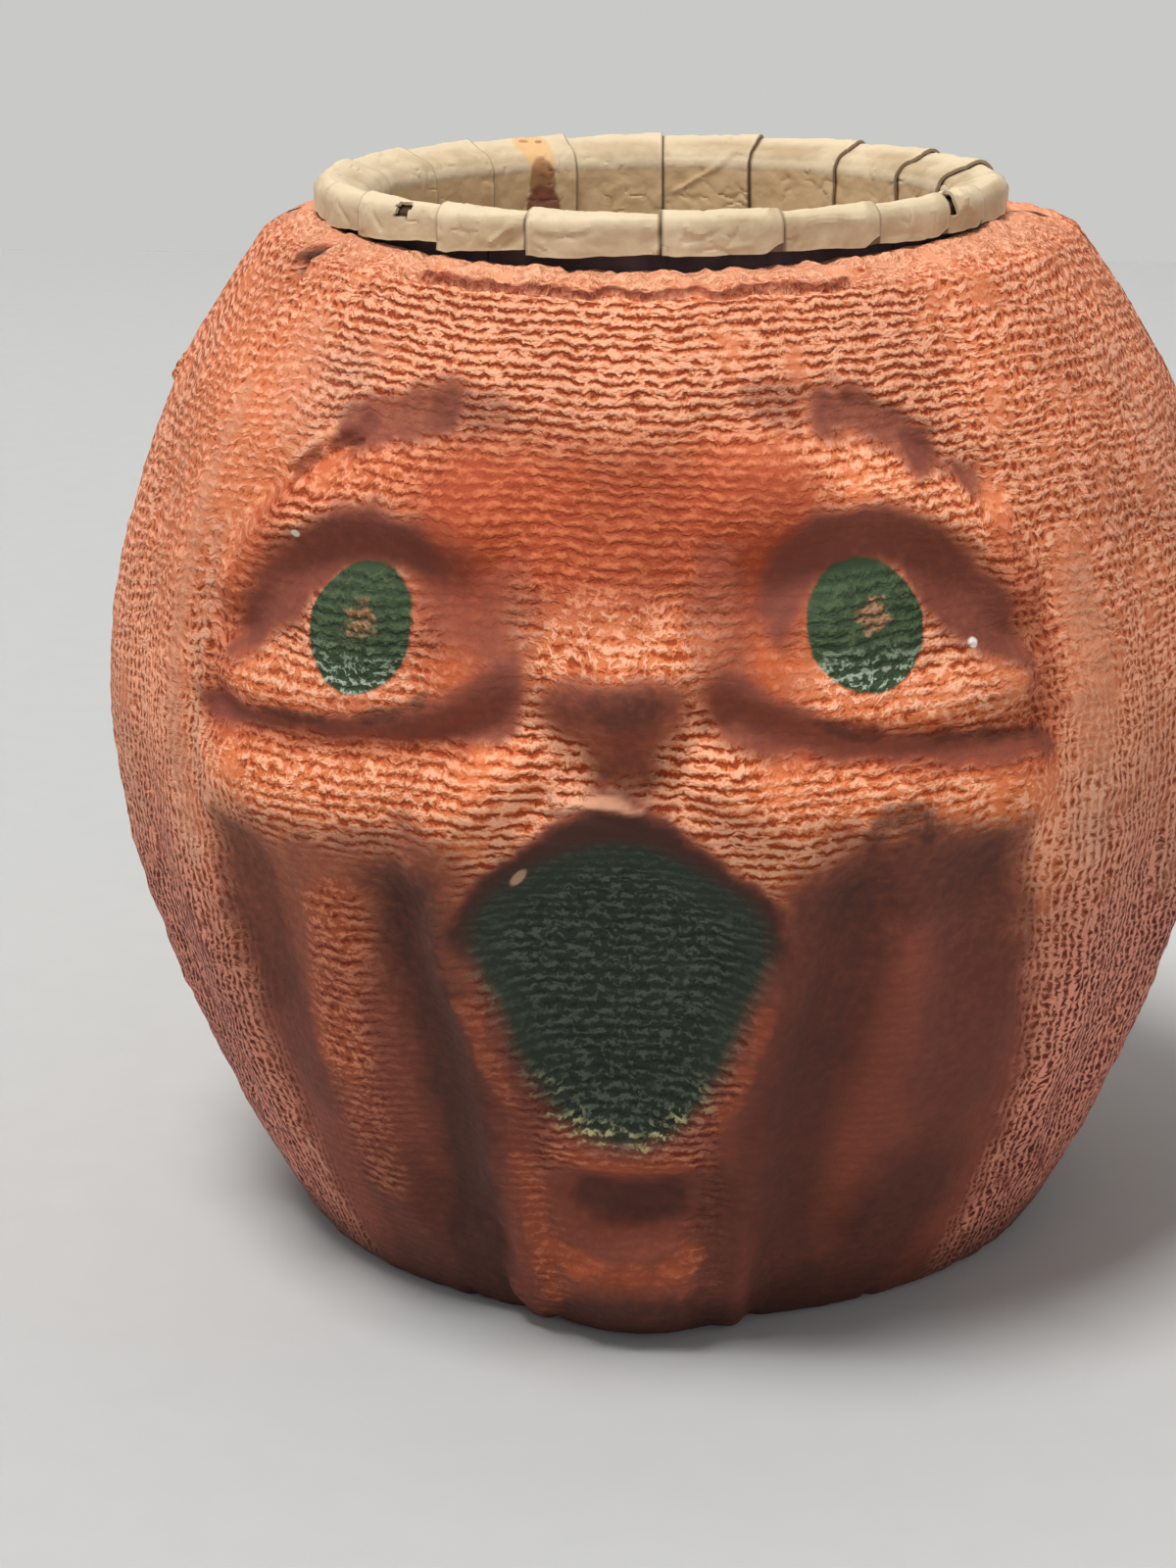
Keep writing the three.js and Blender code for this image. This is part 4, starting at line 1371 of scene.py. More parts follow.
    right_hollow: tuple = (
        (8.6, 31), (12, 33.4), (17, 33.3), (22.9, 32.2), (24.8, 25.5), (26.4, 20), (27.6, 15), (27.5, 8), (25, -2),
        (7, -2), (6, 4), (5.6, 12), (6.2, 19), (7.4, 25),
    )

    hollow_ridge: Stroke = Stroke(0.45, 2.4, ((-17.2, 26.5), (-17.8, 22), (-18.4, 15), (-19.6, 10)))

    def spray(self, across: Array, up: Array, strokes: tuple, wander: float = 0.45) -> Array:
        """Sums soft strokes.

        Args:
            across: places across the face.
            up: places up the face.
            strokes: the strokes.
            wander: how far their edges wander, in millimetres.

        Returns:
            The cover at each place, from 0 to 1.
        """
        bare = np.ones(across.shape)
        ragged = wander * cloud(across, up, 2.2, 41, 3)
        for stroke in strokes:
            far = chain_distance(across, up, smooth_chain(stroke.places)) + ragged
            bare *= 1 - stroke.strength * (1 - smooth_step(0.45 * stroke.half, 1.3 * stroke.half, far))
        return 1 - bare

    def patched(self, across: Array, up: Array, patches: tuple, wander: float) -> Array:
        """Sums sprayed patches.

        Args:
            across: places across the face.
            up: places up the face.
            patches: the patches.
            wander: how far their edges wander, in millimetres.

        Returns:
            The cover at each place, from 0 to 1.
        """
        bare = np.ones(across.shape)
        ragged = wander * cloud(across, up, 2.4, 42, 3)
        for patch in patches:
            places = [np.array(place, float) for place in (*patch.outline, patch.outline[0])]
            out = signed_distance(across, up, places) + ragged
            bare *= 1 - patch.strength * (1 - smooth_step(-patch.soft, patch.soft, out))
        return 1 - bare

    def hollows(self, across: Array, up: Array) -> Array:
        """Cover of the two broad sprayed hollows beside the mouth, thin along a ridge in the left one."""
        sides = Patch(0.66, 1.6, self.left_hollow), Patch(0.88, 1.6, self.right_hollow)
        return self.patched(across, up, sides, 0.9) * (1 - self.spray(across, up, (self.hollow_ridge,)))

    def lip_ring(self, across: Array, up: Array, out: Array, width: float) -> Array:
        """The dark ring sprayed round the upper half of the mouth, widest in its middle.

        Args:
            across: places across the face.
            up: places up the face.
            out: distances outside the mouth's edge.
            width: how far the ring reaches out, about, in millimetres.

        Returns:
            The cover at each place, from 0 to 1.
        """
        reach = width * (0.5 + 0.8 * hill(np.abs(across) / 7)) + 0.35 * cloud(across, up, 1.6, 47)
        return (1 - smooth_step(reach - 0.3, reach + 0.5, out)) * smooth_step(24.5, 28, up)

    def masks(self, across: Array, up: Array, out: Array) -> dict:
        """Covers of all the coats.

        Args:
            across: places across the face.
            up: places up the face.
            out: distances outside the mouth's edge.

        Returns:
            Each coat's cover by name.
        """
        side = smooth_step(24, 31, np.abs(across))
        low = 1 - smooth_step(20, 36, up)
        bare = 1 - self.spray(across, up, self.brown_strokes, 0.65)
        bare = bare * (1 - self.hollows(across, up)) * (1 - self.patched(across, up, self.eye_patches, 0.35))
        brown = 1 - bare * (1 - 0.9 * self.lip_ring(across, up, out, 1.9))
        bare = 1 - self.spray(across, up, self.dark_spray_and_shade_strokes)
        dark = 1 - bare * (1 - 0.97 * self.lip_ring(across, up, out, 1.4))
        outside = smooth_step(-0.5, 0.2, out)
        # Dirt and painted shade darken the bottom 5 mm of the head
        foot = (1 - smooth_step(0, 5, up)) * (0.35 + 0.3 * smooth_step(6, 12, np.abs(across)))
        clog = self.spray(across, up, self.clog_strokes)
        solid = (1 - outside) * (0.25 + 0.55 * smooth_step(-2.6, -0.9, out)) * smooth_step(15, 21, up)
        clog = np.maximum(clog, solid)
        thick = 0.86 * outside * smooth_step(0.25, 0.85, brown)
        return {
            "bright_paint_and_highlight": self.spray(across, up, self.bright_paint_and_highlight_strokes),
            "rust": self.spray(across, up, self.rust_strokes),
            # The lower front and the lower sides get painted shade, in a duller and a pinkish paint
            "dull": (1 - side) * (1 - smooth_step(17, 32, up)) * 0.97,
            "pink_paint_and_lower_shade": side * (0.08 + 0.87 * low),
            # Rubbed paint, and painted highlight on lit ridges
            "worn": self.spray(across, up, self.worn_and_highlight_strokes),
            "brown": brown,
            "dark": 1 - (1 - dark) * (1 - foot),
            "clog": np.clip(1 - (1 - clog) * (1 - thick) * (1 - 0.5 * outside * dark), 0, 0.9),
            "lower_ridge_highlight": self.spray(across, up, self.lower_ridge_highlight_strokes),
            "warp": self.warp(across, up),
            "crinkle": self.crinkle(across, up),
        }

    def warp(self, across: Array, up: Array) -> Array:
        """How far the upright threads stand out over the level ones.

        Args:
            across: places across the face.
            up: places up the face.

        Returns:
            The share at each place.
        """
        side = smooth_step(19, 25, np.abs(across) + 2 * cloud(across, up, 6, 43))
        lower = 0.6 + 0.4 * (1 - smooth_step(30, 50, up))
        return np.maximum(side * lower, 0.5 * self.spray(across, up, self.crinkle_strokes))

    def crinkle(self, across: Array, up: Array) -> Array:
        """How far the paint has dried in a net of fine folds over the threads, as it has on the shoulder."""
        return np.maximum(self.spray(across, up, self.crinkle_strokes), 0.6 * smooth_step(60.9, 61.7, up))

    def glint(self, across: Array, up: Array, out: Array) -> Array:
        """Where the paint of the lower lip catches the light.

        Args:
            across: places across the face.
            up: places up the face.
            out: distances outside the mouth's edge.

        Returns:
            The cover at each place.
        """
        edge = hill(np.abs(out + 0.3) / 1.2)
        low = 1 - smooth_step(15, 20.5, up)
        return 0.95 * edge * low * smooth_step(-0.35, 0.2, cloud(across, up, 1.1, 44))


@dataclass
class PressedHead:
    """The two pressed halves of the head, and what joins them inside.

    The shade in the crack under the rolled cloth is painted in, from a height, crack_start, over crack_run.
    """

    form: HeadForm = field(default_factory=HeadForm)
    paint: FacePaint = field(default_factory=FacePaint)
    seam_gap: float = 0.3
    face_half_angle: float = 44.0
    face_columns: int = 163
    side_columns: int = 52
    rear_columns: int = 181
    front_rows: int = 318
    rear_rows: int = 204
    lining_ratio: int = 6
    crack_start: float = 61.6
    crack_run: float = 4.2
    sharp: float = 60.0

    def seam_angle(self) -> float:
        """Angle from the middle of a half to its edge at the seam."""
        return math.pi / 2 - self.seam_gap / 2 / self.form.opening_radius

    def front_angles(self) -> Array:
        """Angles of the front half's columns, closest over the face.

        Returns:
            The angles.
        """
        seam, face = self.seam_angle(), math.radians(self.face_half_angle)
        return np.concatenate(
            [
                np.linspace(-seam, -face, self.side_columns)[:-1],
                np.linspace(-face, face, self.face_columns),
                np.linspace(face, seam, self.side_columns)[1:],
            ]
        )

    def rear_angles(self) -> Array:
        """Angles of the rear half's columns."""
        return np.linspace(math.pi - self.seam_angle(), math.pi + self.seam_angle(), self.rear_columns)

    def half(self, name: str, angles: Array, rows: int, node: str, cloth: Material, lining: Material) -> None:
        """Builds one half.

        Args:
            name: the piece's name.
            angles: its columns' angles.
            rows: its steps up the body.
            node: the CAD node that it stands for.
            cloth: the painted material.
            lining: the material of its inside.
        """
        outer, heights = self.form.outer(angles, rows)
        inner = self.form.lining(angles, outer, rows, self.lining_ratio)
        piece = closed_sheet(name, outer, inner)
        across, up = np.meshgrid(angles * self.form.belly_radius, heights, indexing="ij")
        self.mark(piece, outer, across, up)
        shade(piece, self.sharp)
        dress_piece(piece, cloth, Slot.CLOTH, Body.SHELL, node)
        piece.data.materials.append(lining)
        for polygon in piece.data.polygons:
            polygon.material_index = int(min(polygon.vertices) >= across.size)

    def mark(self, piece: Piece, outer: Array, across: Array, up: Array) -> None:
        """Stores where each kind of paint is, and how the threads run.

        Args:
            piece: the half.
            outer: its outer points.
            across: places across the face.
            up: places up the face.
        """
        out = self.form.mouth_distance(across, up)
        # The crack's dark colour is painted shade in its crevice
        cracked = self.form.crack(across, (up - self.crack_start) / self.crack_run)
        over_shoulder = smooth_step(self.form.shoulder_height, self.form.edge_low, up)
        crack = 0.85 * smooth_step(0.5, 0.95, cracked) * over_shoulder
        masks = self.paint.masks(across, up, out) | {"crack": crack}
        for name, cover in masks.items():
            give_values(piece, name, cover)
        give_values(piece, "mouth", out)
        give_values(piece, "glint", self.paint.glint(across, up, out))
        give_values(piece, "face_side", 1 - smooth_step(28, 34, np.abs(across)))
        give_values(piece, "raw_and_highlight", self.raw_edge_and_highlight(across, up) * (1 - crack) * (1 - masks["dark"]))
        give_uv(piece, "face", across, up)
        steps = np.linalg.norm(np.diff(outer, axis=1), axis=2).mean(0)
        along = np.concatenate([[0], np.cumsum(steps)])[None, :] + 0 * across
        radius = np.hypot(outer[..., 0], outer[..., 1])
        wander = 0.6 + 0.6 * self.paint.warp(across, up)
        thread_across = across * (0.5 + 0.5 * radius / self.form.belly_radius) / self.form.thread
        thread_across += wander * (0.5 * cloud(across, up, 2.6, 51) + 1.2 * cloud(across, up, 14, 52))
        thread_up = along / self.form.thread
        thread_up += wander * (0.4 * cloud(across, up, 2.2, 53) + 1.2 * cloud(across, up, 16, 54))
        give_uv(piece, "threads", thread_across, thread_up)

    def raw_edge_and_highlight(self, across: Array, up: Array) -> Array:
        """Where the paint is rubbed off the shoulder and the opening's edge.

        Args:
            across: places across the face.
            up: places up the face.

        Returns:
            The share at each place.
        """
        near = smooth_step(61.8, 63.2, up + 1.2 * cloud(across, up, 1.6, 45))
        near = near * (0.5 - 0.1 * smooth_step(14, 30, np.abs(across)))
        # The two scars' strokes also paint a highlight where they catch the light
        return np.maximum(near, self.paint.spray(across, up, self.paint.raw_and_highlight_strokes, 0.3))

    def build(self, board: Material) -> None:
        """Builds the halves and dresses the strips.

        Args:
            board: the board material.
        """
        cloth, lining = PaintedCloth().build(), PulpLining().build()
        self.half("head_front", self.front_angles(), self.front_rows, "front_shell", cloth, lining)
        self.half("head_rear", self.rear_angles(), self.rear_rows, "rear_shell", cloth, lining)
        for name in ("seam_strip_left", "seam_strip_right"):
            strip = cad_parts[name]
            strip.data.materials.clear()
            strip.data.materials.append(board)
            log.info("%s: dressed", name)


def round_board(name: str, radius: float, thickness: float, foot: tuple, bevel: float) -> Piece:
    """Makes a round board with softened edges.

    Args:
        name: the piece's name.
        radius: its radius in millimetres.
        thickness: its thickness in millimetres.
        foot: the middle of its underside in millimetres.
        bevel: the rounding of its edges in millimetres.

    Returns:
        The object.
    """
    bpy.ops.object.select_all(action="DESELECT")
    middle = Vector(foot) + Vector((0, 0, thickness / 2))
    bpy.ops.mesh.primitive_cylinder_add(
        vertices=ROUND_SIDES, radius=radius * MM, depth=thickness * MM, location=middle * MM
    )
    piece = bpy.context.object
    piece.name = name
    select_only(piece)
    bpy.ops.object.transform_apply(location=True, rotation=True, scale=True)
    rounding = piece.modifiers.new("rounded_edges", "BEVEL")
    rounding.width = bevel * MM
    rounding.segments = 2
    rounding.limit_method = "ANGLE"
    rounding.angle_limit = math.radians(50)
    bpy.ops.object.modifier_apply(modifier=rounding.name)
    shade(piece)
    return piece


def dress_piece(piece: Piece, material: Material, slot: Slot, body: Body, *nodes: str) -> None:
    """Finishes a piece.

    Args:
        piece: the piece.
        material: its material.
        slot: its material slot in the record; not used.
        body: the body that it rides on.
        nodes: the CAD nodes that it stands for.
    """
    piece.data.materials.clear()
    piece.data.materials.append(material)
    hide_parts(*nodes)
    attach(piece, body.value)
    log.info("%s: %d points", piece.name, len(piece.data.vertices))


@dataclass
class BaseBoard:
    """The board disc that closes the base, in millimetres."""

    radius: float = 21.6
    thickness: float = 1.4
    bevel: float = 0.12

    def build(self, board: Material) -> None:
        """Builds the disc of the given board."""
        disc = round_board("base_board", self.radius, self.thickness, (0, 0, 0), self.bevel)
        dress_piece(disc, board, Slot.BOARD, Body.SHELL, "base_disc")


# The cup


@dataclass(frozen=True)
class RimForm:
    """The rim's section under the paper, in millimetres.

    The paper cuts each corner of the board short by corner. The tilt is a slope, 0.6 degrees.
    """

    offset: float = -0.7
    bore_radius: float = 17.55
    ring_radius: float = 20.25
    ring_bottom: float = 62.2
    ring_top: float = 64.05
    bevel: float = 0.35
    crest_drop: float = 0.9
    inner_leg: float = 5.0
    corner: float = 0.1
    tilt: float = 0.0105

    def tilted(self, points: Array) -> Array:
        """Tips the top of the cup a little forwards, as it sits in the opening.

        Args:
            points: places.

        Returns:
            The tipped places.
        """
        moved = points.copy()
        moved[..., 2] += self.tilt * points[..., 1] * smooth_step(56, 61, points[..., 2])
        return moved

    def crest(self, radius: float) -> float:
        """Height of the sloping crest at a radius."""
        slope = self.crest_drop / (self.ring_radius - self.bevel - self.bore_radius)
        return self.ring_top - slope * (self.ring_radius - self.bevel - radius)

    def outline(self, outer_foot: float, inner_foot: float, count: int) -> tuple[Array, Array]:
        """A rounded line over the rim, from its outer foot to its inner foot.

        Args:
            outer_foot: height of the outer foot.
            inner_foot: height of the inner foot.
            count: how many points.

        Returns:
            Points as radius and height, and directions away from the rim.
        """
        near_bore = self.bore_radius + self.bevel
        line = np.array(
            [
                (self.ring_radius, outer_foot),
                (self.ring_radius, self.ring_top - self.bevel),
                (self.ring_radius - self.bevel, self.ring_top),
                (near_bore, self.crest(near_bore)),
                (self.bore_radius, self.crest(self.bore_radius) - self.bevel),
                (self.bore_radius, inner_foot),
            ]
        )
        cut = [line[0]]
        for a, b in zip(line, line[1:]):
            share = min(0.25, self.corner / np.linalg.norm(b - a))
            cut += [a + (b - a) * share, b + (a - b) * share]
        line = np.array([*cut, line[-1]])
        gaps = np.linalg.norm(np.diff(line, axis=0), axis=1)
        along = np.concatenate([[0], np.cumsum(gaps)])
        even = np.linspace(0, along[-1], count)
        points = np.stack([np.interp(even, along, line[:, k]) for k in (0, 1)], -1)
        run = np.gradient(points, axis=0)
        run /= np.linalg.norm(run, axis=1, keepdims=True)
        return points, np.stack([run[:, 1], -run[:, 0]], -1)


@dataclass(frozen=True)
class Crease:
    """A small fold in a tab: its ends as millimetres along the tab and up its outline, its rise and half width."""

    start: tuple
    end: tuple
    rise: float
    half: float = 0.28


@dataclass(frozen=True)
class Tab:
    """One tab of gummed paper, from its seam in degrees to the next one.

    Its foot is how far its two outer corners lie above the board. A hole is its start and end along the tab and
    its bottom and top up the outline.
    """

    seam: float
    lap: Lap
    foot: tuple = (0.1, 0.1)
    creases: tuple = ()
    hole: tuple = ()
    crumple: float = 0.0


@dataclass
class RimTabs:
    """The lapped cream tabs folded over the rim."""

    form: RimForm = field(default_factory=RimForm)
    thickness: float = 0.2
    gap: float = 0.05
    lift: float = 0.27
    lap: float = 1.0
    end_gap: float = 0.04
    edge: float = 0.5
    edge_points: int = 4
    middle_points: int = 40
    outline_points: int = 78
    flattest: float = -0.08
    leg_uneven: float = 0.35
    leg_phase: float = 2.4
    sharp: float = 20.0
    tabs: tuple = (
        Tab(-62, Lap.LATER, (-0.1, 0.2), (Crease((2.0, 1.4), (3.4, 0.4), -0.12),)),
        Tab(
            -48,
            Lap.LATER,
            (-0.2, 0.25),
            (Crease((1.3, 1.5), (2.2, 0.6), -0.14), Crease((5.6, 1.3), (7.0, 0.3), -0.14)),
            (3.3, 4.5, 1.25, 1.85),
        ),
        Tab(
            -29,
            Lap.LATER,
            (-0.3, 0.2),
            (
                Crease((5.2, 1.6), (3.6, 0.5), 0.12),
                Crease((5.9, 1.0), (4.4, 0.2), -0.14),
                Crease((5.8, 1.6), (4.9, 1.1), 0.1),
            ),
        ),
        Tab(
            -13,
            Lap.LATER,
            (-0.3, 0.1),
            (
                Crease((1.2, 1.4), (3.4, 1.5), 0.08),
                Crease((7.9, 1.5), (7.0, 0.8), -0.14),
                Crease((7.8, 0.9), (7.2, 0.2), 0.12),
            ),
        ),
        Tab(
            8,
            Lap.LATER,
            (-0.1, 0.05),
            (
                Crease((1.3, 1.4), (2.6, 1.0), 0.1),
                Crease((1.2, 0.8), (2.6, 1.1), -0.1),
                Crease((3.2, 0.4), (4.8, 0.5), 0.06),
            ),
        ),
        Tab(21, Lap.EARLIER, (0.05, 0.0), (Crease((2.4, 1.5), (5.8, 1.45), 0.06),)),
        Tab(38, Lap.EARLIER, (0.05, 0.0), (Crease((1.6, 0.4), (4.4, 0.5), -0.06),)),
        Tab(
            54,
            Lap.EARLIER,
            (0.1, 0.1),
            (
                Crease((1.6, 2.1), (3.6, 0.9), 0.16),
                Crease((1.6, 0.9), (3.6, 2.2), 0.14),
                Crease((2.6, 2.4), (2.6, 0.7), 0.1),
            ),
            (0.9, 1.9, 1.0, 1.95),
            0.16,
        ),
        Tab(66, Lap.EARLIER, (0.1, 0.2)),
        Tab(85, Lap.EARLIER, (0.15, 0.1)),
        Tab(108.5, Lap.LATER, (0.1, 0.2)),
        Tab(128.5, Lap.LATER, (0.2, 0.1)),
        Tab(147.5, Lap.LATER, (0.1, 0.15)),
        Tab(168.5, Lap.LATER, (0.1, 0.1), (Crease((1.0, 4.0), (5.8, 6.4), 0.08),)),
        Tab(187.5, Lap.LATER, (0.2, 0.1)),
        Tab(206.5, Lap.LATER, (0.1, 0.2)),
        Tab(226.5, Lap.LATER, (0.15, 0.1)),
        Tab(243.5, Lap.LATER, (0.1, 0.15)),
        Tab(263.5, Lap.LATER, (0.1, 0.2)),
        Tab(282.5, Lap.LATER, (0.2, 0.1)),
    )

    @staticmethod
    def stain_place() -> float:
        """Millimetres along the rim to the brown stain inside the back of the cup."""
        return math.radians(211.4) * RimForm.ring_radius

    def ends(self, index: int) -> tuple[bool, bool]:
        """Whether a tab's start and its end lie on top of their neighbours."""
        following = self.tabs[(index + 1) % len(self.tabs)]
        return self.tabs[index].lap is Lap.LATER, following.lap is Lap.EARLIER

    def stations(self, index: int) -> tuple[Array, Array]:
        """Angles along a tab, and how far each one is lifted over a neighbour.

        Args:
            index: the tab's number.

        Returns:
            Angles in radians and lifts in millimetres.
        """
        start_over, end_over = self.ends(index)
        radius = self.form.ring_radius
        seam = math.radians(self.tabs[index].seam)
        after = math.radians(self.tabs[(index + 1) % len(self.tabs)].seam)
        after += 2 * math.pi if after < seam else 0
        low = seam - self.lap / radius if start_over else seam + self.end_gap / radius
        high = after + self.lap / radius if end_over else after - self.end_gap / radius
        edge = self.edge / radius
        angles = np.concatenate(
            [
                np.linspace(low, low + edge, self.edge_points)[:-1],
                np.linspace(low + edge, high - edge, self.middle_points),
                np.linspace(high - edge, high, self.edge_points)[1:],
            ]
        )
        share = (angles - low) / (high - low)
        return angles, self.lift * (start_over * (1 - share) + end_over * share)

    def tab_piece(self, index: int, paper: Material) -> None:
        """Builds one tab.

        Args:
            index: the tab's number.
            paper: the paper material.
        """
        tab = self.tabs[index]
        form = self.form
        angles, lifts = self.stations(index)
        share = (angles - angles[0]) / (angles[-1] - angles[0])
        along = (angles - angles[0]) * form.ring_radius
        to_end = along[-1] - along
        foot = tab.foot[0] * (1 - share) + tab.foot[1] * share + form.ring_bottom - 0.03
        foot += 0.09 * cloud(angles * form.ring_radius, 0 * angles, 2.0, 61)
        # The free corners are rounded, the one that laps backwards more
        start_over, end_over = self.ends(index)
        foot += 0.5 * hill(to_end / 1.1) * end_over
        foot += 0.12 * hill(along / 0.7) * start_over
        uneven = self.leg_uneven * math.sin(self.leg_phase * index)
        inner_foot = form.crest(form.bore_radius) - form.inner_leg + uneven
        faces = [[], []]
        up_lines = []
        for station, angle in enumerate(angles):
            line, out = form.outline(float(foot[station]), inner_foot, self.outline_points)
            gaps = np.linalg.norm(np.diff(line, axis=0), axis=1)
            up = np.concatenate([[0], np.cumsum(gaps)])
            wave = self.waves(tab, angle, along[station], up)
            for face, extra in zip(faces, (self.thickness, 0.0)):
                away = self.gap + lifts[station] + extra + wave
                moved = line + out * away[:, None]
                face.append(around(angle, moved[:, 0], moved[:, 1]))
            up_lines.append(up)
        outer, inner = (np.array(face) for face in faces)
        outer[..., 0] += form.offset
        inner[..., 0] += form.offset
        outer, inner = form.tilted(outer), form.tilted(inner)
        up = np.array(up_lines)
        piece = closed_sheet(f"rim_tab_{index + 1:02d}", outer, inner, self.torn(tab, along, up))
        self.mark(piece, outer, angles, along, up, index)
        shade(piece, self.sharp)
        dress_piece(piece, paper, Slot.CREAM, Body.CUP, f"rim_tape_{index + 1:02d}")

    def torn(self, tab: Tab, along: Array, up: Array) -> Array | None:
        """Which cells of a tab are torn out as its hole.

        Args:
            tab: the tab.
            along: the stations' places along the tab.
            up: the places up the outline.

        Returns:
            The mask of the cells, or None for a whole tab.
        """
        if not tab.hole:
            return None
        middle_along = (along[1:] + along[:-1])[:, None] / 2
        middle_up = (up[1:, 1:] + up[:-1, :-1]) / 2
        ragged = 0.06 * cloud(middle_along, middle_up, 0.5, 63)
        low, high, bottom, top = tab.hole
        dropped = (middle_along + ragged > low) & (middle_along + ragged < high)
        return dropped & (middle_up + ragged > bottom) & (middle_up + ragged < top)

    def waves(self, tab: Tab, angle: float, along: float, up: Array) -> Array:
        """Unevenness of the paper along one station.

        Args:
            tab: the tab.
            angle: the station's angle in radians.
            along: its place along the tab.
            up: the places up the outline.

        Returns:
            Millimetres away from the rim. It sinks no further than the flattest.
        """
        place = np.full(up.shape, angle * self.form.ring_radius)
        wave = 0.06 * cloud(place, up, 2.2, 65) + 0.025 * cloud(place, up, 0.8, 67)
        wrinkle = np.abs(cloud(place * 0.8 + up * 0.6, up - place * 0.3, 1.7, 66))
        here_and_there = smooth_step(-0.1, 0.3, cloud(place, up, 2.8, 68))
        wave -= 0.08 * hill(wrinkle / 0.14) * here_and_there
        for crease in tab.creases:
            far = chain_distance(np.full(up.shape, along), up, [np.array(crease.start), np.array(crease.end)])
            wave += crease.rise * hill(far / crease.half)
        if tab.crumple:
            middle = hill(np.hypot((along - 2.4) / 2.2, (up - 1.6) / 1.6))
            wave += tab.crumple * middle * np.abs(cloud(place, up, 0.9, 69))
        return np.maximum(wave, self.flattest)

    def mark(self, piece: Piece, outer: Array, angles: Array, along: Array, up: Array, index: int) -> None:
        """Stores where the paper gets painted highlights, painted shadow and the painted light inside the cup.

        Args:
            piece: the tab.
            outer: its outer points.
            angles: the stations' angles.
            along: the stations' places along the tab.
            up: the places up the outline.
            index: the tab's number.
        """
        numbers = np.tile(np.arange(up.size), 2)
        if len(piece.data.vertices) != numbers.size:
            # A hole has dropped points, so the ones that are left are matched by place
            grid = outer.reshape(-1, 3) * MM
            points = np.array([v.co for v in piece.data.vertices])
            numbers = np.array([np.argmin(((grid - point) ** 2).sum(1)) for point in points])
        for name, value in self.tints(along, up, index).items():
            give_values(piece, name, value.ravel()[numbers])
        place = (angles * self.form.ring_radius)[:, None] + 0 * up
        give_uv(piece, "paper", place.ravel()[numbers], up.ravel()[numbers])

    def tints(self, along: Array, up: Array, index: int) -> dict:
        """How much of each tint the paper has.

        Args:
            along: the stations' places along the tab.
            up: the places up the outline.
            index: the tab's number.

        Returns:
            The cover of each tint by name.
        """
        start_over, end_over = self.ends(index)
        to_edge = np.minimum(along, along[-1] - along)[:, None] + 0 * up
        # The tucked tab is painted dark just beyond the edge of the tab over it, as that edge's shadow
        tucked = np.zeros(up.shape)
        for over, distance in ((start_over, along), (end_over, along[-1] - along)):
            if not over:
                tucked += (1 - smooth_step(1.06, 1.2, distance))[:, None]
        # Up the outline, the board's outer top edge is at 1.7 mm, its inner one at 4.5, and the bore starts at 4.8
        # inside is painted light on the cup's inner wall
        inside = smooth_step(4.7, 4.95, up)
        # The board's top edges, the worn and lit edges of each tab and its foot get a painted highlight
        outer_top = smooth_step(1.62, 1.78, up) * (1 - smooth_step(2.2, 3.4, up))
        inner_top = smooth_step(4.2, 4.5, up) * (1 - smooth_step(4.7, 4.85, up))
        worn_and_lit_edge = 1 - smooth_step(0.0, 0.26, to_edge)
        foot_edge = 1 - smooth_step(0.0, 0.2, up)
        # A thin painted shadow line along each tab's own cut edges
        edge_shadow_line = 0.6 * (1 - smooth_step(0.0, 0.08, to_edge))
        return {
            "inside": 0.85 * inside,
            "pale": np.clip(0.8 * outer_top + 0.6 * inner_top + 0.6 * worn_and_lit_edge + 0.4 * foot_edge, 0, 0.9),
            "painted_lap_and_edge_shadow": np.clip(0.9 * tucked + edge_shadow_line, 0, 0.9),
        }

    def build(self) -> None:
        """Builds all the tabs."""
        paper = GummedPaper().build()
        for index in range(len(self.tabs)):
            self.tab_piece(index, paper)


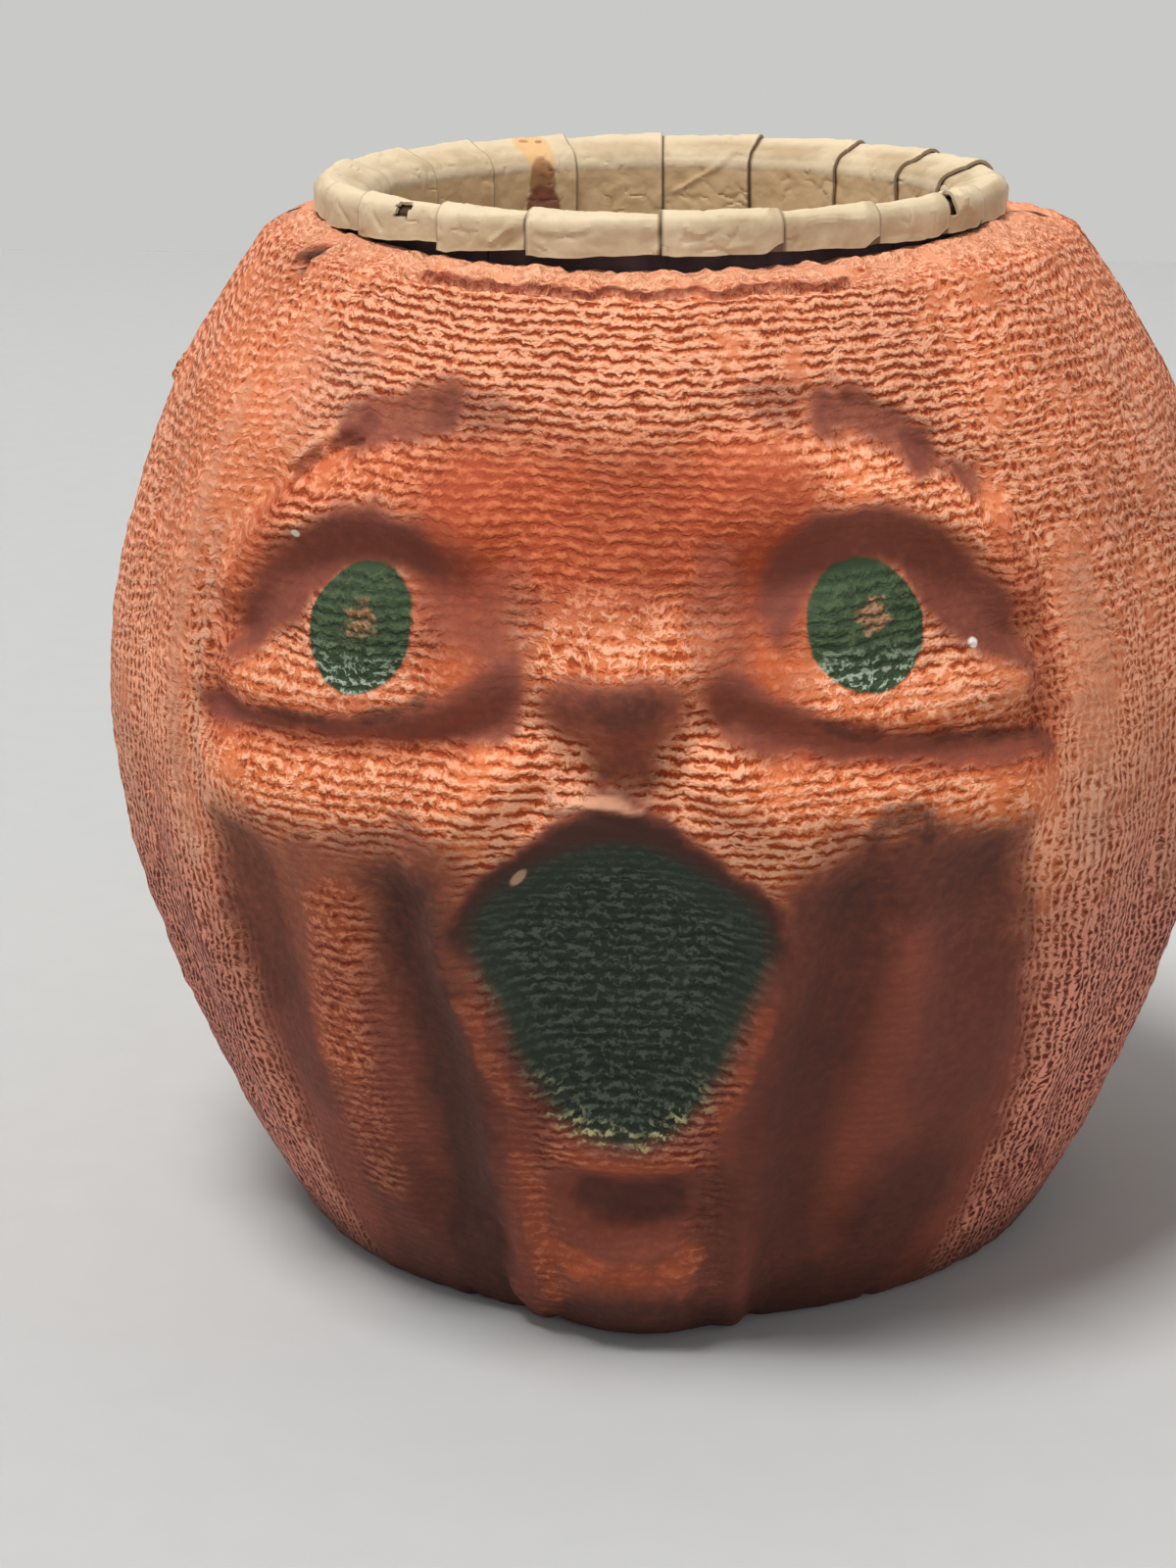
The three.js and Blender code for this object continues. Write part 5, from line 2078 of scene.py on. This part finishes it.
@dataclass
class CupWalls:
    """The cup under the paper: tube, ring, floor and the dark paper round it, which cockles outwards a little."""

    form: RimForm = field(default_factory=RimForm)
    tube_wall: float = 1.2
    glue_gap: float = 0.15
    depth: float = 26.85
    floor_thickness: float = 1.2
    bevel: float = 0.1
    cover_thickness: float = 0.3
    cover_seam: float = 0.14
    cover_seams: tuple = (-25, 6, 48, 88, 128, 168, 208, 250, 292)
    cover_rows: int = 40
    cover_columns: int = 25
    cockle: float = 0.06
    spin_steps: int = 144
    sharp: float = 50.0

    def bottom(self) -> float:
        """Height of the cup's underside."""
        return self.form.ring_top - self.form.crest_drop - self.depth - self.floor_thickness

    def turned(self, name: str, section: list) -> Piece:
        """Spins a closed section round the cup's axis.

        Args:
            name: the piece's name.
            section: points as radius and height, the outside going up.

        Returns:
            The object.
        """
        bpy.ops.object.select_all(action="DESELECT")
        bpy.ops.mesh.primitive_plane_add(size=MM)
        piece = bpy.context.object
        piece.name = name
        work = bmesh.new()
        corners = [work.verts.new((radius * MM, 0, height * MM)) for radius, height in section]
        work.faces.new(corners)
        work.to_mesh(piece.data)
        work.free()
        select_only(piece)
        bpy.ops.object.mode_set(mode="EDIT")
        bpy.ops.mesh.select_all(action="SELECT")
        bpy.ops.mesh.spin(steps=self.spin_steps, angle=2 * math.pi, center=(0, 0, 0), axis=(0, 0, 1))
        bpy.ops.mesh.select_all(action="SELECT")
        bpy.ops.mesh.remove_doubles(threshold=1e-6)
        bpy.ops.mesh.select_all(action="SELECT")
        bpy.ops.mesh.normals_make_consistent(inside=False)
        bpy.ops.object.mode_set(mode="OBJECT")
        # The section that was spun leaves its own face across the ring
        work = bmesh_of(piece)
        inner_faces = [f for f in work.faces if len(f.verts) == len(section) and self.flat_across(f)]
        bmesh.ops.delete(work, geom=inner_faces, context="FACES_ONLY")
        bmesh.ops.translate(work, vec=Vector((self.form.offset * MM, 0, 0)), verts=work.verts)
        for corner in work.verts:
            corner.co = Vector(self.form.tilted(np.array(corner.co) / MM) * MM)
        work.to_mesh(piece.data)
        work.free()
        shade(piece)
        return piece

    @staticmethod
    def flat_across(face: bmesh.types.BMFace) -> bool:
        """Whether a face stands across the ring, as the section that was spun does.

        Args:
            face: the face.

        Returns:
            Whether it does.
        """
        middle = face.calc_center_median()
        outwards = Vector((middle.x, middle.y, 0)).normalized()
        around_ring = Vector((-outwards.y, outwards.x, 0))
        return abs(face.normal.dot(around_ring)) > 0.99

    def build(self, board: Material) -> None:
        """Builds the cup's walls.

        Args:
            board: the board material.
        """
        form = self.form
        tube = form.bore_radius + self.tube_wall
        near_bore = form.bore_radius + form.bevel
        walls = self.turned(
            "cup_wall",
            [
                (form.bore_radius, self.bottom()),
                (tube, self.bottom()),
                (tube, form.crest(tube)),
                (near_bore, form.crest(near_bore)),
                (form.bore_radius, form.crest(form.bore_radius) - form.bevel),
            ],
        )
        dress_piece(walls, board, Slot.BOARD, Body.CUP, "cup_tube")
        bore = tube + self.glue_gap
        ring = self.turned(
            "rim_board",
            [
                (bore, form.ring_bottom),
                (form.ring_radius, form.ring_bottom),
                (form.ring_radius, form.ring_top - form.bevel),
                (form.ring_radius - form.bevel, form.ring_top),
                (bore, form.crest(bore)),
            ],
        )
        # The ring shows only through the torn hole in a tab, and its dark board paints the shade in that hole
        hole_shade_board = GreyBoard("board_dark_as_hole_shade", "#5A4630", "#3E2E1F").build()
        dress_piece(ring, hole_shade_board, Slot.BOARD, Body.CUP, "rim_ring")
        foot = (form.offset, 0, self.bottom())
        floor = round_board("cup_base", form.bore_radius - self.glue_gap, self.floor_thickness, foot, self.bevel)
        dress_piece(floor, board, Slot.BOARD, Body.CUP, "cup_floor")
        self.build_cover(DarkPaper().build())

    def build_cover(self, paper: Material) -> None:
        """Builds the dark panels round the tube.

        Args:
            paper: the dark paper material.
        """
        form = self.form
        inner_radius = form.bore_radius + self.tube_wall + self.glue_gap
        half_seam = self.cover_seam / 2 / (inner_radius + self.cover_thickness)
        heights = np.linspace(self.bottom(), form.ring_bottom - self.glue_gap, self.cover_rows)
        for index, seam in enumerate(self.cover_seams):
            after = self.cover_seams[(index + 1) % len(self.cover_seams)]
            after += 360 if after < seam else 0
            start, end = math.radians(seam) + half_seam, math.radians(after) - half_seam
            angles = np.linspace(start, end, self.cover_columns)
            angle, height = np.meshgrid(angles, heights, indexing="ij")
            wave = self.cockle * (np.clip(cloud(angle * inner_radius, height, 5, 71), 0, 1) - 1)
            outer = around(angle, inner_radius + self.cover_thickness + wave, height)
            inner = around(angle, np.full(angle.shape, inner_radius), height)
            outer[..., 0] += form.offset
            inner[..., 0] += form.offset
            piece = closed_sheet(f"dark_panel_{index + 1:02d}", form.tilted(outer), form.tilted(inner))
            shade(piece, self.sharp)
            dress_piece(piece, paper, Slot.DARK, Body.CUP, f"cover_panel_{index + 1:02d}")


# The studio


@dataclass(frozen=True)
class Lamp:
    """A square soft lamp that faces the head's middle. Metres and watts."""

    name: str
    place: tuple
    size: float
    power: float
    aim: tuple = (0, 0, 0.035)

    def build(self) -> None:
        """Adds the lamp."""
        light = bpy.data.lights.new(self.name, "AREA")
        light.size = self.size
        light.energy = self.power
        lamp = bpy.data.objects.new(self.name, light)
        lamp.location = self.place
        to_head = Vector(self.aim) - Vector(self.place)
        lamp.rotation_euler = to_head.to_track_quat("-Z", "Y").to_euler()
        bpy.context.scene.collection.objects.link(lamp)


@dataclass
class Studio:
    """A pale floor and wall, soft lamps, and the camera of the photograph.

    The camera's distance and height and its lens are millimetres, and its turn and pitch degrees. The set's
    size and the wall's place are metres.
    """

    distance: float = 200.0
    height: float = 85.4
    azimuth: float = 4.8
    pitch: float = 16.55
    lens: float = 75.69
    shift: float = -0.05375
    floor_colour: str = "#BABAB8"
    wall_colour: str = "#C9C9C7"
    air_colour: str = "#DDE1E6"
    air_strength: float = 0.24
    set_size: float = 6.0
    wall_place: float = 0.45
    floor_grain: float = 3.333
    floor_sheen: Sheen = Sheen(0.02, 0.9, 0.2)
    lamps: tuple = (
        Lamp("key_lamp", (-0.5, -0.62, 2.4), 0.8, 60.0),
        Lamp("front_lamp", (0.6, -1.9, 0.6), 1.4, 8.6),
        Lamp("left_lamp", (-1.4, 0.2, 0.6), 0.8, 2.6),
        Lamp("right_lamp", (1.4, 0.1, 0.6), 0.8, 2.2),
    )

    def shown(self, tree: Tree) -> Socket:
        """The share of rays that see the set itself: the camera's, and those that mirrors and glass pass on.

        Args:
            tree: the node tree.

        Returns:
            The share's socket.
        """
        path = add(tree, "LightPath").node
        seen = add(tree, "Math", path.outputs["Is Camera Ray"], path.outputs["Is Glossy Ray"], operation="MAXIMUM")
        return add(tree, "Math", seen, path.outputs["Is Transmission Ray"], operation="MAXIMUM")

    def floor_material(self) -> Material:
        """The floor's plain matte material, which keeps the shadow.

        Returns:
            The Blender material.
        """
        material, tree = new_material("matte_floor")
        place = add(tree, "TexCoord", output="Object")
        grain = add(tree, "TexNoise", place, lump_scale(self.floor_grain), 2.0)
        share = add(tree, "MapRange", grain, 0.3, 0.7, 0.98, 1.0)
        colour = add(tree, "Mix", 1.0, linear(self.floor_colour), share, data_type="RGBA", blend_type="MULTIPLY")
        finish_material(tree, colour, grain, self.floor_sheen)
        return material

    def wall_material(self) -> Material:
        """The wall's material: a plain pale tone to the camera.

        Returns:
            The Blender material.
        """
        material, tree = new_material("matte_wall")
        bare = add(tree, "BsdfDiffuse", linear(self.wall_colour))
        tone = add(tree, "Emission", linear(self.wall_colour), 1.0)
        add(tree, "OutputMaterial", add(tree, "MixShader", self.shown(tree), bare, tone))
        return material

    def build(self) -> None:
        """Builds the set, the lamps and the camera."""
        bpy.ops.object.select_all(action="DESELECT")
        bpy.ops.mesh.primitive_plane_add(size=self.set_size, location=(0, 0, 0))
        floor = bpy.context.object
        floor.name = "studio_floor"
        floor.data.materials.append(self.floor_material())
        bpy.ops.object.select_all(action="DESELECT")
        upright = (math.pi / 2, 0, 0)
        bpy.ops.mesh.primitive_plane_add(size=self.set_size, location=(0, self.wall_place, 0), rotation=upright)
        wall = bpy.context.object
        wall.name = "studio_wall"
        wall.data.materials.append(self.wall_material())
        for lamp in self.lamps:
            lamp.build()
        world = bpy.data.worlds.new("studio_air")
        world.use_nodes = True
        tree = world.node_tree
        tree.nodes.clear()
        light = add(tree, "Background", linear(self.air_colour), self.air_strength)
        tone = add(tree, "Background", linear(self.wall_colour), 1.0)
        add(tree, "OutputWorld", add(tree, "MixShader", self.shown(tree), light, tone))
        bpy.context.scene.world = world
        self.camera()
        bpy.context.scene.view_settings.view_transform = "Standard"

    def camera(self) -> None:
        """Adds the camera."""
        lens = bpy.data.cameras.new("photo_camera")
        lens.lens = self.lens
        lens.shift_x = self.shift
        lens.clip_start = 0.01
        lens.clip_end = 20
        camera = bpy.data.objects.new("photo_camera", lens)
        turn = math.radians(self.azimuth)
        camera.location = (
            self.distance * MM * math.sin(turn),
            -self.distance * MM * math.cos(turn),
            self.height * MM,
        )
        camera.rotation_euler = (math.radians(90 - self.pitch), 0, turn)
        bpy.context.scene.collection.objects.link(camera)
        bpy.context.scene.camera = camera


def main() -> None:
    """Builds the cup's looks in order."""
    logging.basicConfig(level=logging.INFO, format="%(name)s: %(message)s")
    board = GreyBoard().build()
    PressedHead().build(board)
    BaseBoard().build(board)
    CupWalls().build(board)
    RimTabs().build()
    Studio().build()


if __name__ == "__main__":
    main()
